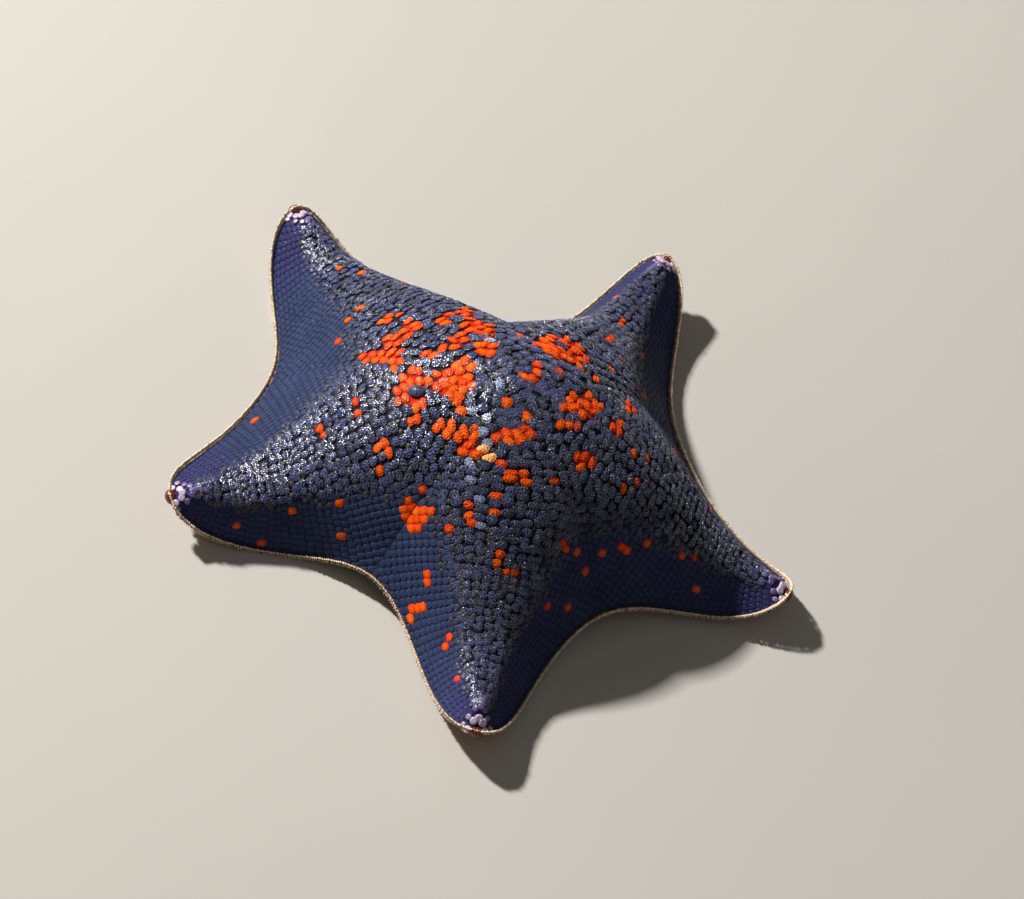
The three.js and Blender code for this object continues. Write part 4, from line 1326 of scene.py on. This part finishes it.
foot_shape, foot_faces = drawn_up(8, 1, FOOT_RINGS, -0.03)
foot_parts = []
for arm, side in HALF_ARMS:
    first = FOOT_START + 0.25 * FOOT_PITCH * (1 + side)
    s = np.arange(first, ARM_LENGTH[arm] - FOOT_TIP_CLEARANCE, FOOT_PITCH)
    across = side * FOOT_OFFSET * (1 - 0.45 * smooth(s, ARM_LENGTH[arm] * 0.75, ARM_LENGTH[arm]))
    foot_parts.append([0 * s + arm, s, across])
arm, s, across = np.hstack(foot_parts)
arm, count = arm.astype(int), len(s)
start = body_point(arm, s, across, groove_roof(arm, s, across) + SKIN_DEPTH + FOOT_ROOT)
width = FOOT_RADIUS * (1 - 0.35 * smooth(s, 25, 50)) * draw.uniform(0.88, 1.1, count)
length = FOOT_LENGTH * draw.uniform(0.72, 1.05, count) * (1 - 0.5 * smooth(s, 25, 50))
length = np.maximum(np.minimum(length, start[:, 2] - FOOT_CLEARANCE), FOOT_SHORTEST)
tilt = draw.normal(0, 0.1, (count, 2))
down = unit(np.hstack([tilt, -np.ones((count, 1))]))
aside = unit(np.cross(down, [0.0, 1.0, 0.0]))
bow = np.sin(foot_shape[:, 2] * math.pi)[None, :, None] * draw.normal(0, FOOT_BOW, (count, 1, 2))
shape = foot_shape * np.stack([width, width, length], -1)[:, None]
shape[..., :2] += bow
places = start[:, None] + shape @ np.stack([aside, np.cross(down, aside), down], 1)
places[..., 2] = np.maximum(places[..., 2], SUCKER_CLEARANCE)
foot_uv = star_uv(UNDERSIDE_UV_CENTRE, arm, s, across)
piece = copied(
    "tube_feet", foot_shape, foot_faces, places,
    [("sucker", "FLOAT", np.tile(foot_shape[:, 2] > 0.9, count))],
    foot_uv[:, None] + foot_shape[:, :2] * TUFT_UV,
)
foot_finish, shader = mottled_surface(
    "foot_finish", 900, (206, 158, 92), (240, 206, 144),
    {"dry": 0.35, "wet": 0.2, "coat": 0.6, "bump": 0.3, "distance": 0.04}, ("sucker", (248, 230, 196)))
let_light_in(shader, 0.4, 0.8)
piece.data.materials.append(foot_finish)
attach(piece, "root")

# ---- Jaws -------------------------------------------------------------------------------------
# Five jaws meet round the mouth, one facing each notch. Each is a pair of domed limy plates joined
# on their middle line by muscle, with stout blunt spines that close over the mouth.

JAW_INNER = 2.4
JAW_OUTER = 6.45
JAW_INNER_WIDTH = 0.35
JAW_HALF_WIDTH = 2.25
JAW_TOP = 11.8
JAW_BOTTOM = 9.95
JAW_SLOPE = 1.35
JAW_DOME = 0.55
JAW_GAP = 0.07
ORAL_SPINE_LENGTH = 1.9
ORAL_SPINE_RADIUS = 0.27
ORAL_SPINES = 6
ORAL_FIRST, ORAL_RUN = 0.15, 3.2
ORAL_ASIDE, ORAL_SPLAY = 0.22, 0.42
ORAL_HEIGHT, ORAL_DROP = 9.75, 1.1
FACE_SPINE_REACHES = (3.7, 4.9)
FACE_SPINE_HEIGHT = 9.35
FACE_SPINE_SIZE = 0.72

bpy.ops.mesh.primitive_cube_add(size=2, location=(0, 0, 0))
half_jaw = bpy.context.object
bpy.ops.object.mode_set(mode="EDIT")
bpy.ops.mesh.select_all(action="SELECT")
bpy.ops.mesh.subdivide(number_cuts=3)
bpy.ops.object.mode_set(mode="OBJECT")
for vertex in half_jaw.data.vertices:
    reach, across, height = ((value + 1) / 2 for value in vertex.co)
    dome = JAW_DOME * (1 - (2 * across - 1) ** 2) * math.sin(math.pi * (0.15 + 0.75 * reach))
    width = JAW_INNER_WIDTH + (JAW_HALF_WIDTH - JAW_INNER_WIDTH) * reach
    bottom = JAW_BOTTOM - JAW_SLOPE * reach - dome
    vertex.co = (
        JAW_INNER + reach * (JAW_OUTER - JAW_INNER),
        JAW_GAP + across * width,
        bottom + height * (JAW_TOP - bottom),
    )
half_jaw.modifiers.new("sides", "MIRROR").use_axis = (False, True, False)
rim = half_jaw.modifiers.new("rim", "BEVEL")
rim.width, rim.segments, rim.angle_limit = 0.16, 2, math.radians(40)
half_jaw.modifiers.new("rounding", "SUBSURF").levels = 1
for modifier in ("sides", "rim", "rounding"):
    bpy.ops.object.modifier_apply(modifier=modifier)
bpy.ops.object.mode_set(mode="EDIT")
bpy.ops.mesh.select_all(action="SELECT")
bpy.ops.mesh.normals_make_consistent(inside=False)
bpy.ops.object.mode_set(mode="OBJECT")
jaw_shape, jaw_faces = take_shape(half_jaw)
jaw_finish, _ = bone_surface("jaw_finish", (178, 120, 62), (236, 196, 132))
spines = []
seat = np.array([*DISC_CENTRE, 0.0])
for index in range(5):
    notch = top_point(index, 1, np.array(0.0), np.array(1.0)) - seat
    forward = unit(notch * [1, 1, 0])
    turn = np.stack([forward, np.cross(UP, forward), UP])
    piece = new_mesh(
        f"jaw_plates_{index + 1}", jaw_shape @ turn + seat, jaw_faces,
        [("shade", "FLOAT", np.full(len(jaw_shape), 0.5))],
        star_uv(UNDERSIDE_UV_CENTRE, index + 0.5, jaw_shape[:, 0], jaw_shape[:, 1]),
    )
    piece.data.materials.append(jaw_finish)
    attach(piece, "root")
    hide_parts(f"jaw_{index + 1}")
    for side in (-1, 1):
        spots = []
        for share in np.arange(ORAL_SPINES) / (ORAL_SPINES - 1):
            reach = JAW_INNER + ORAL_FIRST + share * ORAL_RUN
            aside = ORAL_ASIDE + ORAL_SPLAY * (reach - JAW_INNER)
            spot = reach, side * aside, ORAL_HEIGHT - ORAL_DROP * share
            aim = -1.0 + 0.35 * share, side * 0.75 * share, -0.75 + 0.1 * share
            spots.append((spot, aim, 0.07, 1 - 0.4 * share))
        for reach in FACE_SPINE_REACHES:
            drop = 0.3 * (reach - FACE_SPINE_REACHES[0])
            spot = reach, side * 0.3 * (reach - 1.6), FACE_SPINE_HEIGHT - drop
            spots.append((spot, (-0.5, side * 0.15, -1.0), 0.08, FACE_SPINE_SIZE))
        for spot, aim, spread, size in spots:
            root = star_uv(UNDERSIDE_UV_CENTRE, index + 0.5, *spot[:2])
            spines.append([*(spot @ turn + seat), *((aim + draw.normal(0, spread, 3)) @ turn), size, *root])
spines = np.array(spines)
size = spines[:, 6]
piece = rods(
    "oral_spines", spines[:, :3], unit(spines[:, 3:6]), ORAL_SPINE_RADIUS * (0.6 + 0.4 * size),
    ORAL_SPINE_LENGTH * size, spines[:, 7:], draw.uniform(0.4, 1, len(spines)),
)
piece.data.materials.append(jaw_finish)
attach(piece, "root")

# ---- Camera and light -------------------------------------------------------------------------
# The studio: a camera on a long lens in front of the star and above it, turned on its side a
# little, a key light from behind on the left, a soft fill, and a pale floor.

CAMERA_ELEVATION = math.radians(50.5)
CAMERA_ROLL = math.radians(-22.9)
CAMERA_TARGET = np.array([-0.53, 0.03, 8])
CAMERA_DISTANCE = 723.9
CAMERA_LENS, CAMERA_SENSOR = 180, 36
FLOOR_HALF_WIDTH = 1500
DAYLIGHT = (1, 0.95, 0.88, 1)
DAYLIGHT_STRENGTH = 0.115


def set_facing(thing, axis_x, toward, spot):
    """Puts a camera or lamp at a spot, with its back in a direction and its side along an axis."""
    placing = np.eye(4)
    placing[:3] = np.stack([axis_x, np.cross(toward, axis_x), toward, spot], 1)
    thing.matrix_world = placing.T.tolist()
    bpy.context.scene.collection.objects.link(thing)


camera = bpy.data.objects.new("camera", bpy.data.cameras.new("camera"))
camera.data.lens = CAMERA_LENS
camera.data.sensor_width = CAMERA_SENSOR
camera.data.clip_start = 0.01
back = np.array([0, -math.cos(CAMERA_ELEVATION), math.sin(CAMERA_ELEVATION)])
rise = np.array([0, math.sin(CAMERA_ELEVATION), math.cos(CAMERA_ELEVATION)])
right = math.cos(CAMERA_ROLL) * np.array([1, 0, 0]) - math.sin(CAMERA_ROLL) * rise
set_facing(camera, right, back, (CAMERA_TARGET + back * CAMERA_DISTANCE) * MM)
bpy.context.scene.camera = camera


def add_light(name, azimuth, elevation, distance, size, power, colour):
    """A square lamp that faces the star from that side."""
    lamp = bpy.data.objects.new(name, bpy.data.lights.new(name, "AREA"))
    lamp.data.size = size
    lamp.data.energy = power
    lamp.data.color = colour
    turn, climb = math.radians(azimuth), math.radians(elevation)
    toward = np.array([math.cos(turn) * math.cos(climb), math.sin(turn) * math.cos(climb), math.sin(climb)])
    set_facing(lamp, [-math.sin(turn), math.cos(turn), 0], toward, toward * distance)


add_light("key", 161, 37, 1.0, 0.06, 20, (1, 0.97, 0.92))
add_light("fill", -60, 60, 1.2, 1.0, 0.55, (1, 0.96, 0.9))
world = bpy.data.worlds.new("studio")
world.use_nodes = True
world.node_tree.nodes["Background"].inputs["Color"].default_value = DAYLIGHT
world.node_tree.nodes["Background"].inputs["Strength"].default_value = DAYLIGHT_STRENGTH
bpy.context.scene.world = world
bpy.context.scene.view_settings.view_transform = "Standard"

bpy.ops.mesh.primitive_plane_add(size=2 * FLOOR_HALF_WIDTH * MM, location=(0, 0, 0))
floor = bpy.context.object
floor.name = "floor"
floor_finish, tree, shader, place = new_material("floor_finish", 0.3)
tree.links.new(mixed(tree, noise(tree, place, 9, 5), (178, 175, 170), (188, 185, 180)), shader["Base Color"])
shader["Roughness"].default_value = 0.75
floor.data.materials.append(floor_finish)
